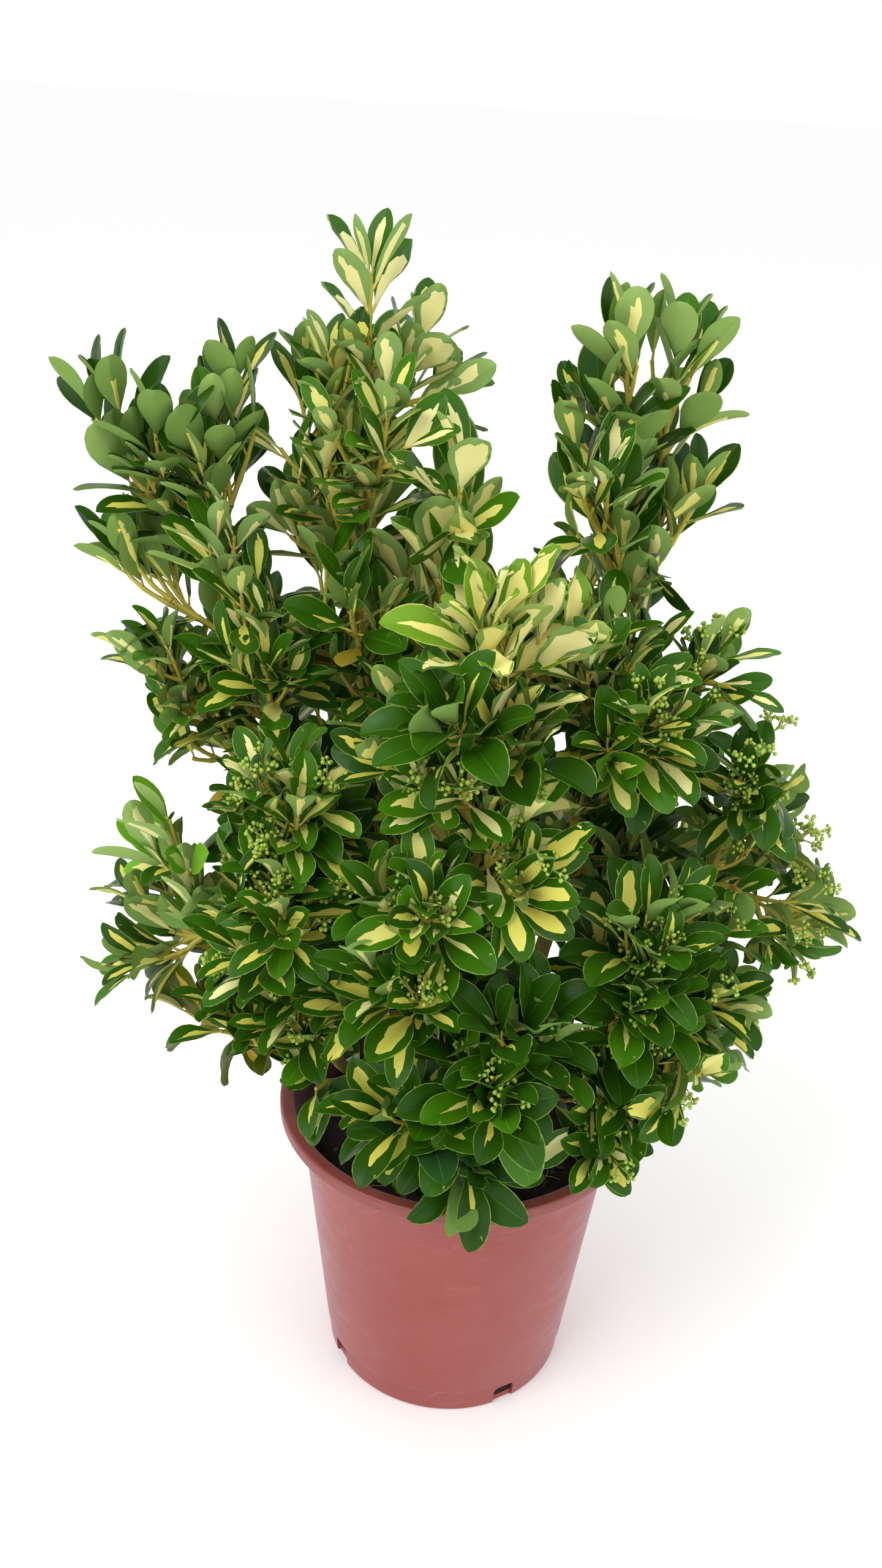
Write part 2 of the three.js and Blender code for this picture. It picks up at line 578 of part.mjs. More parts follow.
// The places on a leaf that are tested: its corners and the middles of its edges
function leafMarks(points) {
  const [root, right, tipRight, tipLeft, left, under] = points;
  const edges = [[right, tipRight], [left, tipLeft], [under, right], [under, left], [tipRight, tipLeft],
    [root, right], [root, left], [root, under]];
  return [...points.slice(1), ...edges.map(([a, b]) => a.clone().lerp(b, 0.5))];
}

function meets(a, b) {
  const boxes = [a.boundingBox(), b.boundingBox()];
  const apart = [0, 1, 2].some((i) => boxes[0].min[i] > boxes[1].max[i] || boxes[1].min[i] > boxes[0].max[i]);
  return !apart && !a.intersect(b).isEmpty();
}

// The solids keep every lead, and one side twig on a mass's first lead, where it has room
function keptTwigs(massIndex) {
  const firstSide = ({ keys }) => keys[1] === 0 && keys[2] === 0;
  const ahead = ({ curve }) => [0.5, 0.75, 1].map((t) => curve.getPoint(t));
  return twigsOf(massIndex).filter((twig) => twig.lead || (firstSide(twig) && fits(ahead(twig), massIndex)));
}

function massSolid(massIndex) {
  const twigs = keptTwigs(massIndex);
  const tubes = twigs.map((twig) => twigTube(twig));
  const leaves = twigs.flatMap((twig, own) => leavesOf(twig).map((leaf) => ({ ...leaf, own })));
  leaves.sort((a, b) => a.pair - b.pair);
  const blades = [];
  for (const leaf of leaves) {
    const others = [...tubes.filter((_, i) => i !== leaf.own), ...blades];
    const sizes = isUpright(massIndex) ? 'upright' : leaf.pair ? 'lower' : 'top';
    for (const scale of LEAF_SCALES[sizes]) {
      const points = leafPoints(leaf, scale);
      if (!fits(leafMarks(points), massIndex)) continue;
      const blade = solid(points, LEAF_FACES);
      if (others.some((other) => meets(blade, other))) continue;
      blades.push(blade);
      break;
    }
  }
  return wasm.Manifold.union([...tubes, ...blades]);
}

const group = new THREE.Group();

// The pot's section, from the middle of its underside out, up, over the rim and back inside
function potProfile() {
  const shoulder = POT_HEIGHT - SHOULDER_DROP;
  const skirt = POT_HEIGHT - RIM_DEPTH;
  const ringRadius = within([FOOT_RADIUS, SHOULDER_RADIUS], FOOT_RING_HEIGHT / shoulder);
  const innerFoot = FOOT_RADIUS - WALL;
  const outline = [
    [0, 0], [FOOT_RADIUS - POT_EDGE, 0], [FOOT_RADIUS, POT_EDGE],
    [ringRadius - FOOT_RING_STEP / 2, FOOT_RING_HEIGHT],
    [ringRadius + FOOT_RING_STEP / 2, FOOT_RING_HEIGHT + FOOT_RING_STEP],
    [SHOULDER_RADIUS - COLLAR_SLOPE, shoulder - COLLAR_SLOPE], [SHOULDER_RADIUS, shoulder],
    [RIM_RADIUS - RIM_OVERHANG, skirt], [RIM_RADIUS, skirt + POT_EDGE],
    [RIM_RADIUS, POT_HEIGHT - POT_EDGE], [RIM_RADIUS - POT_EDGE, POT_HEIGHT], [MOUTH_RADIUS, POT_HEIGHT],
    [COLLAR_BORE, shoulder - COLLAR_SLOPE], [innerFoot, FLOOR + POT_EDGE], [innerFoot - POT_EDGE, FLOOR],
    [0, FLOOR],
  ];
  return outline.map(([r, z]) => new THREE.Vector2(r, z));
}

function lathed(profile) {
  const shape = new THREE.LatheGeometry(profile, POT_SIDES);
  shape.rotateX(Math.PI / 2);
  return fromGeometry(shape);
}

function potSolid() {
  let pot = lathed(potProfile());
  const reach = FOOT_RADIUS - DRAIN_DEPTH / 4;
  for (let i = 0; i < DRAIN_COUNT; i++) {
    const turn = radians(DRAIN_TURN + (360 / DRAIN_COUNT) * i);
    const place = [reach * Math.cos(turn), reach * Math.sin(turn), 0];
    pot = pot.subtract(box(DRAIN_DEPTH, DRAIN_WIDTH, DRAIN_HEIGHT * 2, ...place, turn));
  }
  return pot;
}

// Compost, a plug a little smaller than the pot's inside, with a sloping edge at its top
function soilSolid() {
  const bottom = FLOOR + FIT_GAP;
  const edge = SOIL_TOP - SOIL_EDGE_DROP;
  const bore = [FOOT_RADIUS - WALL - POT_EDGE, COLLAR_BORE];
  const radiusAt = (z) => within(bore, (z - FLOOR) / (POT_HEIGHT - SHOULDER_DROP - FLOOR)) - SOIL_CLEARANCE;
  const outline = [
    [0, bottom], [radiusAt(bottom) - POT_EDGE, bottom], [radiusAt(bottom + POT_EDGE), bottom + POT_EDGE],
    [radiusAt(edge), edge], [radiusAt(edge) - SOIL_EDGE_WIDTH, SOIL_TOP], [0, SOIL_TOP],
  ];
  return lathed(outline.map(([r, z]) => new THREE.Vector2(r, z)));
}

group.add(meshOf('pot', potSolid(), 'pot'));
group.add(meshOf('soil', soilSolid(), 'soil'));

// Stems and boughs, each trimmed clear of those before it
const wide = {};
for (const [name, limb] of Object.entries(limbs)) {
  wide[name] = limbSolid(limb, FIT_GAP);
  let body = limbSolid(limb);
  for (const other of Object.keys(wide)) {
    if (other !== name) body = body.subtract(wide[other]);
  }
  group.add(meshOf(name, body, 'bark'));
}

// Foliage masses, each trimmed clear of the limbs and of the leads before it
const wideLeads = [];
Object.entries(MASSES).forEach(([name, { tone }], i) => {
  let body = massSolid(i);
  for (const limb of Object.values(wide)) body = body.subtract(limb);
  for (const lead of wideLeads) body = body.subtract(lead);
  wideLeads.push(...twigsOf(i).filter(({ lead }) => lead).map((twig) => twigTube(twig, FIT_GAP)));
  group.add(meshOf(name, body, tone));
});

export default group;
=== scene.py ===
"""A variegated Japanese spindle in a moulded nursery pot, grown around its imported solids."""

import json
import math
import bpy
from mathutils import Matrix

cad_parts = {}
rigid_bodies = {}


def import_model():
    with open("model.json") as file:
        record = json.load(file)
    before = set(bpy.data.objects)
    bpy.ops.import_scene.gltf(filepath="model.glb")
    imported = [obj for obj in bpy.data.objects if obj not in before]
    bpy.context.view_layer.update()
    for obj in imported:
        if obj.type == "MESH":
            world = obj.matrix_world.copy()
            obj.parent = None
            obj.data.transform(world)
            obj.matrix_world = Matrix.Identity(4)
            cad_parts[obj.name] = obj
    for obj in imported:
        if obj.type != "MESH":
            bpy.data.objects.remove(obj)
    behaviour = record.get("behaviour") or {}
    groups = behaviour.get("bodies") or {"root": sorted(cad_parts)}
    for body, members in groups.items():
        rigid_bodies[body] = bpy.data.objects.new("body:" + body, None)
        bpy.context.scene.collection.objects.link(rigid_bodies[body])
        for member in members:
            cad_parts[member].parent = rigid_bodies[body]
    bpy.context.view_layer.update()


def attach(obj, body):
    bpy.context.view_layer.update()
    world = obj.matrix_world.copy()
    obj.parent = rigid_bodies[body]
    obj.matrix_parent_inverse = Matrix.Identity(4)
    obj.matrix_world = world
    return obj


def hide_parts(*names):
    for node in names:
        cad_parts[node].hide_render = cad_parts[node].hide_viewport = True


bl_info = {
    "name": "Potted Variegated Spindle",
    "version": (1, 0, 0),
    "blender": (4, 5, 0),
    "location": "View3D > Sidebar > Spindle",
    "description": "Grows a gold-splashed Japanese spindle on several stems in a nursery pot",
    "category": "Add Mesh",
}

from collections import namedtuple
from itertools import product

import bpy
import numpy as np
from bpy.props import FloatProperty, FloatVectorProperty, IntProperty, PointerProperty
from mathutils import Matrix, Quaternion, Vector

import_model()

# Lengths in the growth rules are in millimetres, and meshes are in metres
MM = 0.001
UP = Vector((0, 0, 1))
BACK = Vector((0, 1, 0))
WORD = 0xFFFFFFFF

# Pot section, in millimetres
POT_HEIGHT = 243
RIM_RADIUS = 140
MOUTH_RADIUS = 130
RIM_DEPTH = 12
SHOULDER_RADIUS = 121
SHOULDER_DROP = 37
FOOT_RADIUS = 97
FOOT_RING_HEIGHT = 21
FOOT_RING_STEP = 1.2
COLLAR_STEP = 0.9
COLLAR_RADIUS = 124.5
COLLAR_BORE = 118.4
RIM_UNDERSIDE = 4
RIM_OVERHANG = 3.5
RIM_BEVEL = 1.5
POT_ROUNDING = 2.6
CORNER_SHARE = 0.45
SHARP_ANGLE = 40
WALL = 2.6
FLOOR = 4
DRAIN_WIDTH = 18
DRAIN_HEIGHT = 17
DRAIN_DEPTH = 8
DRAIN_COUNT = 4
DRAIN_TURN = -148
DRAIN_ROUND = 4
DRAIN_CORNER = 1.2
DRAIN_OUT = 1
POT_SEGMENTS = 160
# The plastic's mottle: shares of its colour in the dark patches and of white in the pale ones
MOTTLE_DARK = 0.94
MOTTLE_PALE = 0.02

# Compost
SOIL_TOP = 215
SOIL_SUNK = 2.6
# Two waves over the compost: height, then how fast each runs along x and y, and where the first one starts
SOIL_MOUNDS = ((1.6, 0.061, 0.053, 1.3), (1.1, 0.13, 0.17))
SOIL_CRUMB = 1.6
SOIL_EDGE = 106
SOIL_EDGE_SLOPE = 0.42
SOIL_SIDE_DROP = 12
SOIL_CLEARANCE = 0.4
PLUG_FOOT = 0.3
PLUG_BEVEL = 4
SOIL_RINGS = 34
SOIL_SEGMENTS = 110
STEM_START = SOIL_TOP + 0.3
BED_RINGS = 9
BED_SIDES = 24
BED_RADII = (8, 110)
CHIP_LIFT = 0.6
CHIP_SIZE = 9
# Chips by chance: least and most turn, least and most size on each axis, and their seeds
CHIP_TURNS = ((-0.6, -0.6, 0), (0.6, 0.6, 6.28), 11)
CHIP_SIZES = ((0.35, 0.2, 0.12), (1.2, 0.75, 0.4), 12)
ROOT_COUNT = 70
ROOT_PLACES = (14, 102)
ROOT_STEPS = 10
ROOT_STEP = 4.2
ROOT_TURN = 1.1
ROOT_LIFT = 0.9
ROOT_WAVE = 1.2
ROOT_WAVE_TURN = 0.9
ROOT_RADIUS = 0.35
SHORTEST_ROOT = 3
CRUMB_DARK = 0.6

# Limbs
LIMB_PULL = 0.36
LIMB_STEP = 4
LIMB_POINTS = 6
STEM_SUNK = 2
# The bark's age at the compost, held to 1 at most, and the height over which it falls by 1
BARK_AGE = 1.1
BARK_YOUNG_ABOVE = 240
FLARE = 1.7
FLARE_LENGTH = 0.06
STEM_BEND = ((0, 0.6, 0.5), (0, 0.5, 0.5))
TIP_BOUGH_BEND = ((0.8, 0.4, 0), (0, 0.5, 0.5))
SIDE_BOUGH_BEND = ((0.35, 0.8, 0), (0, 0.5, 0.5))
LEAD_BEND = ((0.5, 0.8, 0), (0, 0.75, 0.35))
UPRIGHT_BEND = ((0.5, 0.8, 0), (0, 0.5, 0.75))
DROOPING_BEND = ((0.5, 0.8, 0), (0, 0.75, -0.15))
DROOPING_BELOW = SOIL_TOP + 120
COURSE_STEPS = 200
CURVE_END = 0.0001
STEEP = 0.2

# Twigs: leads, side twigs and finer ones are three orders
TWIG_ORDERS = 3
LEAD_RADIUS = 2.3
TWIG_RADIUS = 1.7
TWIG_END_RADIUS = 1.1
SHOOT_STEP = {True: 12, False: 9}
CLOSEST_MARKS = 0.7
LOWEST_SCAR = 8
SCAR_HALF = 1
NODE_SWELLING = 0.32
NODE_LENGTH = 3
LEAD_FIRST = 0.1
LEAD_STEP = 0.12
UPRIGHT_SIDE = 30
SIDE_SPACING = {"upright": 110, "rising": 58, "spreading": 58}
SIDE_FIRST = 0.32
SIDE_SPREAD = 0.5
SIDE_SPIRAL = 0.381966
SIDE_TAPER = (1.15, 0.55)
SIDE_VARIES = (0.75, 1.25)
# Finer twigs fill the room between the side twigs
FINE_SPACING = {"upright": 46, "rising": 30, "spreading": 26}
FINE_SPREAD = {"upright": (0.0, 0.6), "rising": (0.1, 0.9), "spreading": (0.12, 0.96)}
FINE_LENGTH = {"upright": (30, 48), "rising": (34, 58), "spreading": (30, 60)}
FINE_TAPER = (1.2, 0.55)
FINE_KEYS = 20
# How every twig leaves its parent, by its way of growing: angle in degrees, and rise for its length
TWIG_ANGLE = {"side": (38, 56), "upright": (20, 34), "rising": (32, 50), "spreading": (38, 60)}
TWIG_RISE = {"side": 0.28, "upright": 0.42, "rising": 0.4, "spreading": 0.24}
# Its end, for its length: how far it goes on as it left, and along its parent
TWIG_REACH = 0.8
TWIG_DRIFT = 0.1
# Its direction at the end: shares of the way it left, of straight up and of its parent
TWIG_ARRIVES = (0.5, 0.45, 0.2)
OUTWARD = 0.003
# Masses at the end of a limb also have short spurs along its upper part
SPUR_SPACING = 24
SPUR_SPREAD = (0.3, 0.98)
SPUR_KEY = 15
SINGLE_SHOOTS = ("centre_top",)
SPURRED_MASSES = ("centre_top_right",)
# Masses that also take the leafy spurs of a stem: stem, and the share of its length that has them
STEM_SPURS = {
    "right_inner": ("stem_right", (0.5, 0.98)),
    "left_inner": ("stem_left", (0.52, 0.98)),
    "centre_low": ("stem_centre", (0.5, 0.95)),
    "front_right": ("stem_front_right", (0.5, 0.98)),
    "left_front": ("stem_front_left", (0.5, 0.98)),
    "back_high": ("stem_back", (0.5, 0.98)),
}
STEM_SPUR_SPACING = 17
STEM_SPUR_KEY = 16
CLOSED_MASSES = ("centre_yellow", "left_fresh")
OPEN_MASSES = ("middle_yellow", "middle_large")
THIRD_SHARE = 0.5
THIRD_PLACE = 0.55
THIRD_LENGTH = (24, 38)
RISING_ABOVE = 590

# Leaves: gaps between pairs from the tip down, then the last gap again and again
PAIR_GAPS = {"upright": (3, 9, 13, 17, 20, 22), "rising": (3, 9, 14, 18, 22, 26),
             "spreading": (3, 9, 14, 20, 26, 32)}
PAIR_GAP_VARIES = (0.9, 1.1)
LEAD_PAIRS = 9
SIDE_PAIRS = 6
LEAFY_SHARE = {True: 0.85, False: 0.92}
LEAF_PITCH = {"upright": (20, 11, 60), "rising": (27, 12, 64), "spreading": (30, 15, 80)}
PITCH_VARIES = 16
TURN_VARIES = 24
TWIST_VARIES = 36
FACE_LIFT = {"upright": 0.25, "rising": 0.55, "spreading": 0.75}
FIRST_LEAF_SIZE = 0.82
LEAF_SIZE_STEP = 0.1
LEAF_SIZE_VARIES = (0.85, 1.15)
LEAF_LENGTH = 47
LEAF_REACH = 37
NODE_HALF = 1.6
LEAF_STALK = 0.11
LEAF_SPACING = 9
# Points of a leaf that must be free, in shares of its length: along it, its middle, and across
FREE_ALONG = (0.35, 0.85, 1.08)
FREE_MIDDLE = 0.6
FREE_ACROSS = 0.26
POT_CLEARANCE = 2
SOIL_GAP = 3
OLD_FROM = 3
OLD_SHARE = 0.04

# Stems rise from the compost: foot [x, y], top [x, y, z], radius at the foot and at the top
STEMS = {
    "stem_left": ((-40, 5), (-150, 5, 560), (6.5, 4.6)),
    "stem_centre": ((-14, 18), (-75, 10, 610), (7, 4.4)),
    "stem_right": ((34, 14), (86, 10, 570), (7, 4.6)),
    "stem_front": ((2, -34), (-12, -85, 430), (5.5, 3.8)),
    "stem_front_left": ((-40, -32), (-115, -75, 370), (5.2, 3.6)),
    "stem_front_right": ((42, -30), (110, -70, 370), (5.2, 3.6)),
    "stem_back": ((0, 52), (5, 110, 440), (6, 4.2)),
}

# Boughs leave a stem at a share of its length: parent, share, top, radii
BOUGHS = {
    "bough_left": ("stem_left", 1, (-185, 0, 645), (4.4, 3.4)),
    "bough_left_front": ("stem_front_left", 0.8, (-190, -40, 425), (3.2, 2.6)),
    "bough_centre": ("stem_centre", 1, (-85, 5, 765), (4.2, 3)),
    "bough_centre_right": ("stem_centre", 0.86, (-25, -20, 690), (3.4, 2.6)),
    "bough_right": ("stem_right", 1, (75, 0, 730), (4.4, 3.2)),
    "bough_right_outer": ("stem_right", 0.93, (105, 15, 730), (3.4, 2.6)),
    "bough_right_high": ("stem_right", 0.62, (140, 0, 595), (3.6, 2.8)),
    "bough_right_low": ("stem_front_right", 0.9, (175, -10, 480), (3.4, 2.6)),
    "bough_middle": ("stem_front", 1, (20, -90, 580), (3.6, 2.8)),
    "bough_front_low": ("stem_front", 0.38, (0, -105, 300), (3.2, 2.6)),
}

# Masses: limb, share of its length, side twig length, leaf size, tone, and the points the shoots reach
Mass = namedtuple("Mass", "limb share side_length leaf_size tone goals")
MASSES = {name: Mass(*row) for name, row in {
    "left_leader": ("bough_left", 1, 24, 1.02, "plain",
                    ((-262, 0, 801), (-283, 8, 791), (-222, -30, 796))),
    "left_leader_inner": ("bough_left", 0.82, 24, 1.06, "plain",
                          ((-168, 5, 823), (-190, -25, 765), (-145, 0, 799))),
    "left_shoulder": ("bough_left", 0.5, 24, 1, "plain", ((-262, -20, 698), (-276, -10, 688))),
    "left_middle": ("stem_left", 0.78, 42, 0.95, "mix",
                    ((-240, -15, 610), (-240, 0, 550), (-240, 25, 620), (-248, -10, 603), (-234, -15, 630))),
    "left_inner": ("stem_left", 0.9, 40, 0.95, "mix",
                   ((-150, -40, 690), (-140, -75, 640), (-185, -45, 725))),
    "left_front_upper": ("stem_left", 0.62, 44, 0.95, "mix", ((-120, -110, 555), (-175, -70, 530))),
    "centre_top": ("bough_centre", 1, 20, 1.1, "wide", ((-85, 0, 895),)),
    "centre_top_right": ("bough_centre", 0.84, 28, 1, "wide",
                         ((-50, 25, 835), (-20, 45, 800), (-39, 15, 846), (-10, 30, 804))),
    "centre_front": ("bough_centre", 0.55, 38, 0.95, "yellow", ((-65, -45, 805), (-115, -20, 780))),
    "centre_left": ("stem_centre", 0.93, 34, 1, "yellow",
                    ((-142, 30, 806), (-145, 25, 735), (-118, 10, 828))),
    "centre_low": ("stem_centre", 0.76, 40, 0.95, "green", ((-95, -60, 700), (-135, -15, 695))),
    "centre_yellow": ("bough_centre_right", 1, 34, 1.4, "wide",
                      ((-20, -55, 790), (-5, -60, 740), (-28, -85, 710))),
    "middle_yellow": ("bough_middle", 1, 38, 1.3, "gold", ((5, -80, 695), (-30, -90, 685))),
    "middle_large": ("bough_middle", 0.84, 42, 1.25, "plain", ((40, -130, 640), (-40, -120, 650))),
    "middle_low": ("bough_middle", 0.6, 42, 1, "yellow", ((-30, -135, 610), (-70, -100, 620))),
    "right_top_inner": ("bough_right", 1, 24, 1.05, "green",
                        ((62, 0, 857), (45, -25, 815), (28, 0, 808), (30, 0, 766))),
    "right_top_outer": ("bough_right_outer", 1, 24, 1.05, "green",
                        ((108, 15, 857), (146, 25, 812), (143, 20, 757), (132, 22, 848))),
    "right_front": ("bough_right", 0.7, 28, 1, "mix", ((40, -55, 770), (25, -40, 720), (35, -30, 800))),
    "right_side": ("bough_right_outer", 0.6, 28, 1, "mix",
                   ((140, 30, 735), (118, -30, 695), (119, -22, 665), (142, 5, 764))),
    "right_shoulder": ("bough_right_high", 1, 38, 0.95, "mix",
                       ((175, 5, 655), (200, -20, 605), (150, -25, 640), (188, -10, 646))),
    "right_inner": ("stem_right", 0.8, 42, 1, "mix",
                    ((95, -60, 660), (60, -80, 660), (115, -90, 615), (80, -110, 595), (158, -65, 575))),
    "right_middle": ("bough_right_low", 1, 42, 0.95, "green",
                     ((215, 5, 545), (245, 20, 475), (233, -5, 522), (183, -45, 590), (168, -65, 560),
                      (165, 48, 450))),
    "right_outer": ("bough_right_low", 0.82, 42, 0.95, "mix",
                    ((282, -8, 413), (195, -60, 465), (252, -30, 388), (219, -60, 405))),
    "right_low": ("stem_front_right", 1, 44, 1, "mix",
                  ((205, -70, 410), (185, -85, 340), (163, -100, 300), (149, -115, 306), (166, -100, 292),
                   (115, 42, 345))),
    "front_right": ("stem_front_right", 0.76, 46, 1.1, "green",
                    ((120, -125, 515), (120, -150, 440), (105, 48, 490))),
    "front_right_low": ("stem_front_right", 0.5, 42, 1, "mix",
                        ((130, -105, 300), (118, -130, 345), (129, -118, 282), (185, -100, 345))),
    "front_upper": ("bough_middle", 0.34, 44, 1.1, "yellow", ((30, -150, 560), (45, -175, 520))),
    "front_middle": ("stem_front", 0.9, 46, 1.1, "mix", ((-35, -170, 540), (-70, -160, 515))),
    "front_left_lower": ("stem_front", 0.66, 46, 1.1, "yellow", ((-60, -190, 465), (-100, -150, 420))),
    "front_lower": ("bough_front_low", 1, 48, 1.15, "plain", ((55, -185, 455), (0, -175, 435))),
    "front_low": ("bough_front_low", 0.72, 44, 1.155, "yellow", ((-40, -180, 370), (15, -160, 360))),
    "front_rim": ("bough_front_low", 0.4, 40, 1.3, "dark",
                  ((-5, -140, 265), (-80, -125, 295), (2, -170, 244))),
    "left_front": ("stem_front_left", 1, 46, 1, "mix",
                   ((-130, -130, 500), (-120, -90, 590), (-175, -95, 465), (-110, 48, 480))),
    "left_fresh": ("bough_left_front", 1, 36, 1.1, "fresh",
                   ((-224, -45, 532), (-253, -42, 488), (-195, -80, 485), (-177, -60, 467),
                    (-195, -40, 506))),
    "left_outer": ("bough_left_front", 0.78, 42, 1, "mix",
                   ((-250, -40, 400), (-250, -10, 440), (-241, -60, 360), (-262, -50, 373),
                    (-194, -70, 387), (-160, 48, 445))),
    "left_low": ("stem_front_left", 0.7, 40, 0.95, "dull",
                 ((-235, -55, 335), (-175, -90, 370), (-145, -95, 325), (-200, -80, 385),
                  (-161, -95, 315), (-121, -100, 306), (-115, 42, 345))),
    "back_left": ("stem_back", 0.88, 52, 1, "green", ((-190, 130, 520), (-215, 110, 400), (-120, 62, 470))),
    "back_high": ("stem_back", 1, 52, 1, "mix",
                  ((-115, 95, 680), (105, 95, 690), (-40, 150, 600), (60, 160, 560), (40, 68, 610),
                   (-75, 70, 570))),
    "back_left_low": ("stem_back", 0.6, 52, 1, "green",
                      ((-120, 205, 400), (-150, 150, 310), (0, 225, 470), (-50, 262, 420), (-70, 75, 400))),
    "back_right": ("stem_back", 0.8, 52, 1, "green", ((190, 130, 520), (225, 100, 390), (120, 62, 470))),
    "back_right_low": ("stem_back", 0.48, 52, 1, "green",
                       ((110, 210, 400), (150, 150, 310), (-5, 200, 330), (70, 78, 400))),
}.items()}
MASS_NAMES = list(MASSES)
# Lanes from the camera through the crown stay open to the sky: x, z and radius where they enter it
LANE_FRONT = -160
LANES = (
    (69, 852, 5), (72, 831, 5), (-225, 776, 8), (-169, 817, 6), (-118, 797, 8), (-131, 761, 7),
    (-116, 777, 7), (-116, 808, 6), (118, 817, 6), (129, 825, 9), (115, 747, 11), (119, 716, 8),
    (-111, 712, 8), (-97, 710, 6), (-114, 733, 7), (-213, 691, 12), (-192, 699, 9), (-175, 700, 7),
    (-160, 698, 6), (-207, 634, 12), (-196, 610, 9), (-182, 582, 7), (-159, 585, 7), (-163, 550, 8),
    (178, 632, 12), (198, 606, 9), (203, 578, 12), (226, 536, 10), (193, 433, 10), (170, 373, 8),
    (160, 333, 8), (187, 389, 6), (-186, 407, 7), (-156, 393, 7), (-126, 358, 8), (37, 860, 6),
    (35, 842, 5), (154, 674, 4), (11, 802, 14), (17, 770, 7), (18, 748, 7), (-246, 778, 15),
    (-243, 556, 17), (151, 369, 8), (165, 383, 6), (189, 421, 5), (208, 573, 7), (172, 639, 5),
    (-208, 674, 5), (-204, 621, 7), (-187, 817, 6), (-218, 785, 4), (23, 761, 6), (4, 723, 5),
    (20, 724, 5), (-195, 704, 5), (97, 744, 4), (204, 398, 6), (197, 407, 5), (222, 527, 6),
)
AREAS = ("left", "centre", "middle", "right", "front", "back")

# Splash levels: plain, slight, mid, wide, nearly all. Each tone deals a leaf one of them by these shares
SPLASH_SHARES = {
    "green": (0.34, 0.30, 0.26, 0.10, 0),
    "plain": (0.60, 0.26, 0.14, 0, 0),
    "mix": (0.07, 0.20, 0.44, 0.27, 0.02),
    "yellow": (0.02, 0.12, 0.42, 0.40, 0.04),
    "wide": (0, 0, 0.08, 0.62, 0.30),
    "gold": (0, 0, 0, 0.15, 0.85),
    "fresh": (0.28, 0.16, 0.22, 0.26, 0.08),
    "dull": (0.20, 0.30, 0.35, 0.15, 0),
    "dark": (0.80, 0.15, 0.05, 0, 0),
}
# Sprays of each tone take one of these colourings
TONE_COLOURINGS = {
    "green": ("deep", "deep", "mid", "mid", "light"),
    "plain": ("deep", "deep", "mid", "light"),
    "mix": ("deep", "mid", "mid", "light", "cream"),
    "yellow": ("mid", "mid", "light", "cream", "deep"),
    "wide": ("cream", "cream", "light"),
    "gold": ("light", "cream", "golden"),
    "fresh": ("fresh",),
    "dull": ("dull", "dull", "mid"),
    "dark": ("dusty", "dusty", "deep"),
}
ZONES = ("blade", "splash", "margin", "midrib", "under", "under_splash", "stalk")
# Colours of a leaf, zone by zone, in the order of ZONES
COLOURINGS = {
    "deep": ("234a03", "d4cc5a", "7d9a38", "386418", "7b9c4c", "ece27c", "b5b04e"),
    "mid": ("2d5a03", "dbd464", "8ca646", "46761c", "86a654", "f0e884", "c6bb58"),
    "light": ("3f720c", "e6e080", "9db656", "588a2a", "92b05e", "f5ed94", "d2c562"),
    "cream": ("336208", "ece6a0", "98b054", "4c7c24", "88aa5c", "f6efa2", "d8cc72"),
    "golden": ("6f9a24", "eee68c", "ddd06a", "8cae3c", "9cb45c", "f8f09a", "dccb62"),
    "fresh": ("6ca824", "e2e28c", "b0c858", "84ba3c", "9cba6a", "efebae", "d6d078"),
    "dull": ("4c5810", "bd9c38", "8a8a40", "626c26", "7c8248", "c4b066", "ae9a48"),
    "old": ("a8912c", "d8bf5c", "c0a650", "b39a3a", "a89a50", "d8c880", "b09a48"),
    "dusty": ("2c5426", "b4b058", "7a9658", "44703c", "6c8a58", "bcbc7c", "a0a55c"),
}

# A pattern of patches lies mostly between these values, so a change of colour or gloss is spread over them
PATCH_ENDS = {"From Min": 0.3, "From Max": 0.7}
# Skins of one colour: colour, roughness, specular level, then the grain: patches a metre, how drawn out
# along the limb, strength and depth in metres
GRAINED = {
    # Smooth yellow-green skin with a satin gloss and soft lengthwise ribs
    "young spindle shoot": ("c3b54a", 0.5, 0.3, 900, 0.3, 0.4, 0.0003),
    # Rough brown rings where leaves have fallen
    "corky node scar": ("6f4a24", 0.85, 0.5, 1400, 1, 0.6, 0.0004),
    # Thin, smooth and yellow-green
    "flower stalk": ("b4bd52", 0.5, 0.5, 900, 1, 0.3, 0.0002),
    # Pale buff and matt
    "fine pale root": ("a88e66", 0.8, 0.5, 900, 1, 0.4, 0.0003),
}

# A leaf kind's outline: half width at shares of the length, blunt at its tip
OUTLINE_AT = (0, 0.07, 0.16, 0.28, 0.40, 0.52, 0.62, 0.73, 0.83, 0.91, 0.97, 1)
OUTLINE = (0.06, 0.15, 0.34, 0.61, 0.84, 0.97, 1, 0.93, 0.77, 0.54, 0.29, 0.05)
LEAF_ROWS = (0.1, 0.25, 0.41, 0.57, 0.71, 0.84, 0.945)
LEAF_SHEAR = 0.07
LEAF_LINES = 50
MARGIN_SHARE = 0.965
TOOTH = 0.012
TOOTH_PLACE = 0.55
RIB_SHARE = 0.03
HALF_SHARE = 0.52
KEEL = 0.03
STALK_THICKNESS = 0.02
STALK_END = 0.06
# Forms of leaves, least and most: half width, fold, camber and waves in shares of the length, twist, and the
# splash's reach and lean to one side
LEAF_FORMS = {
    "width": (0.2, 0.248), "fold": (0.2, 0.6), "camber": (0.2, 1.6), "wave": (0, 0.012), "waves": (9, 15),
    "phase": (0, 6.28), "twist": (-0.3, 0.3), "reach": (0.85, 1), "side": (-0.25, 0.25),
}
CURLY_LEVEL = 4
CURLY_WAVE = (0.02, 0.045)
WAVE_SHIFT = 2.1
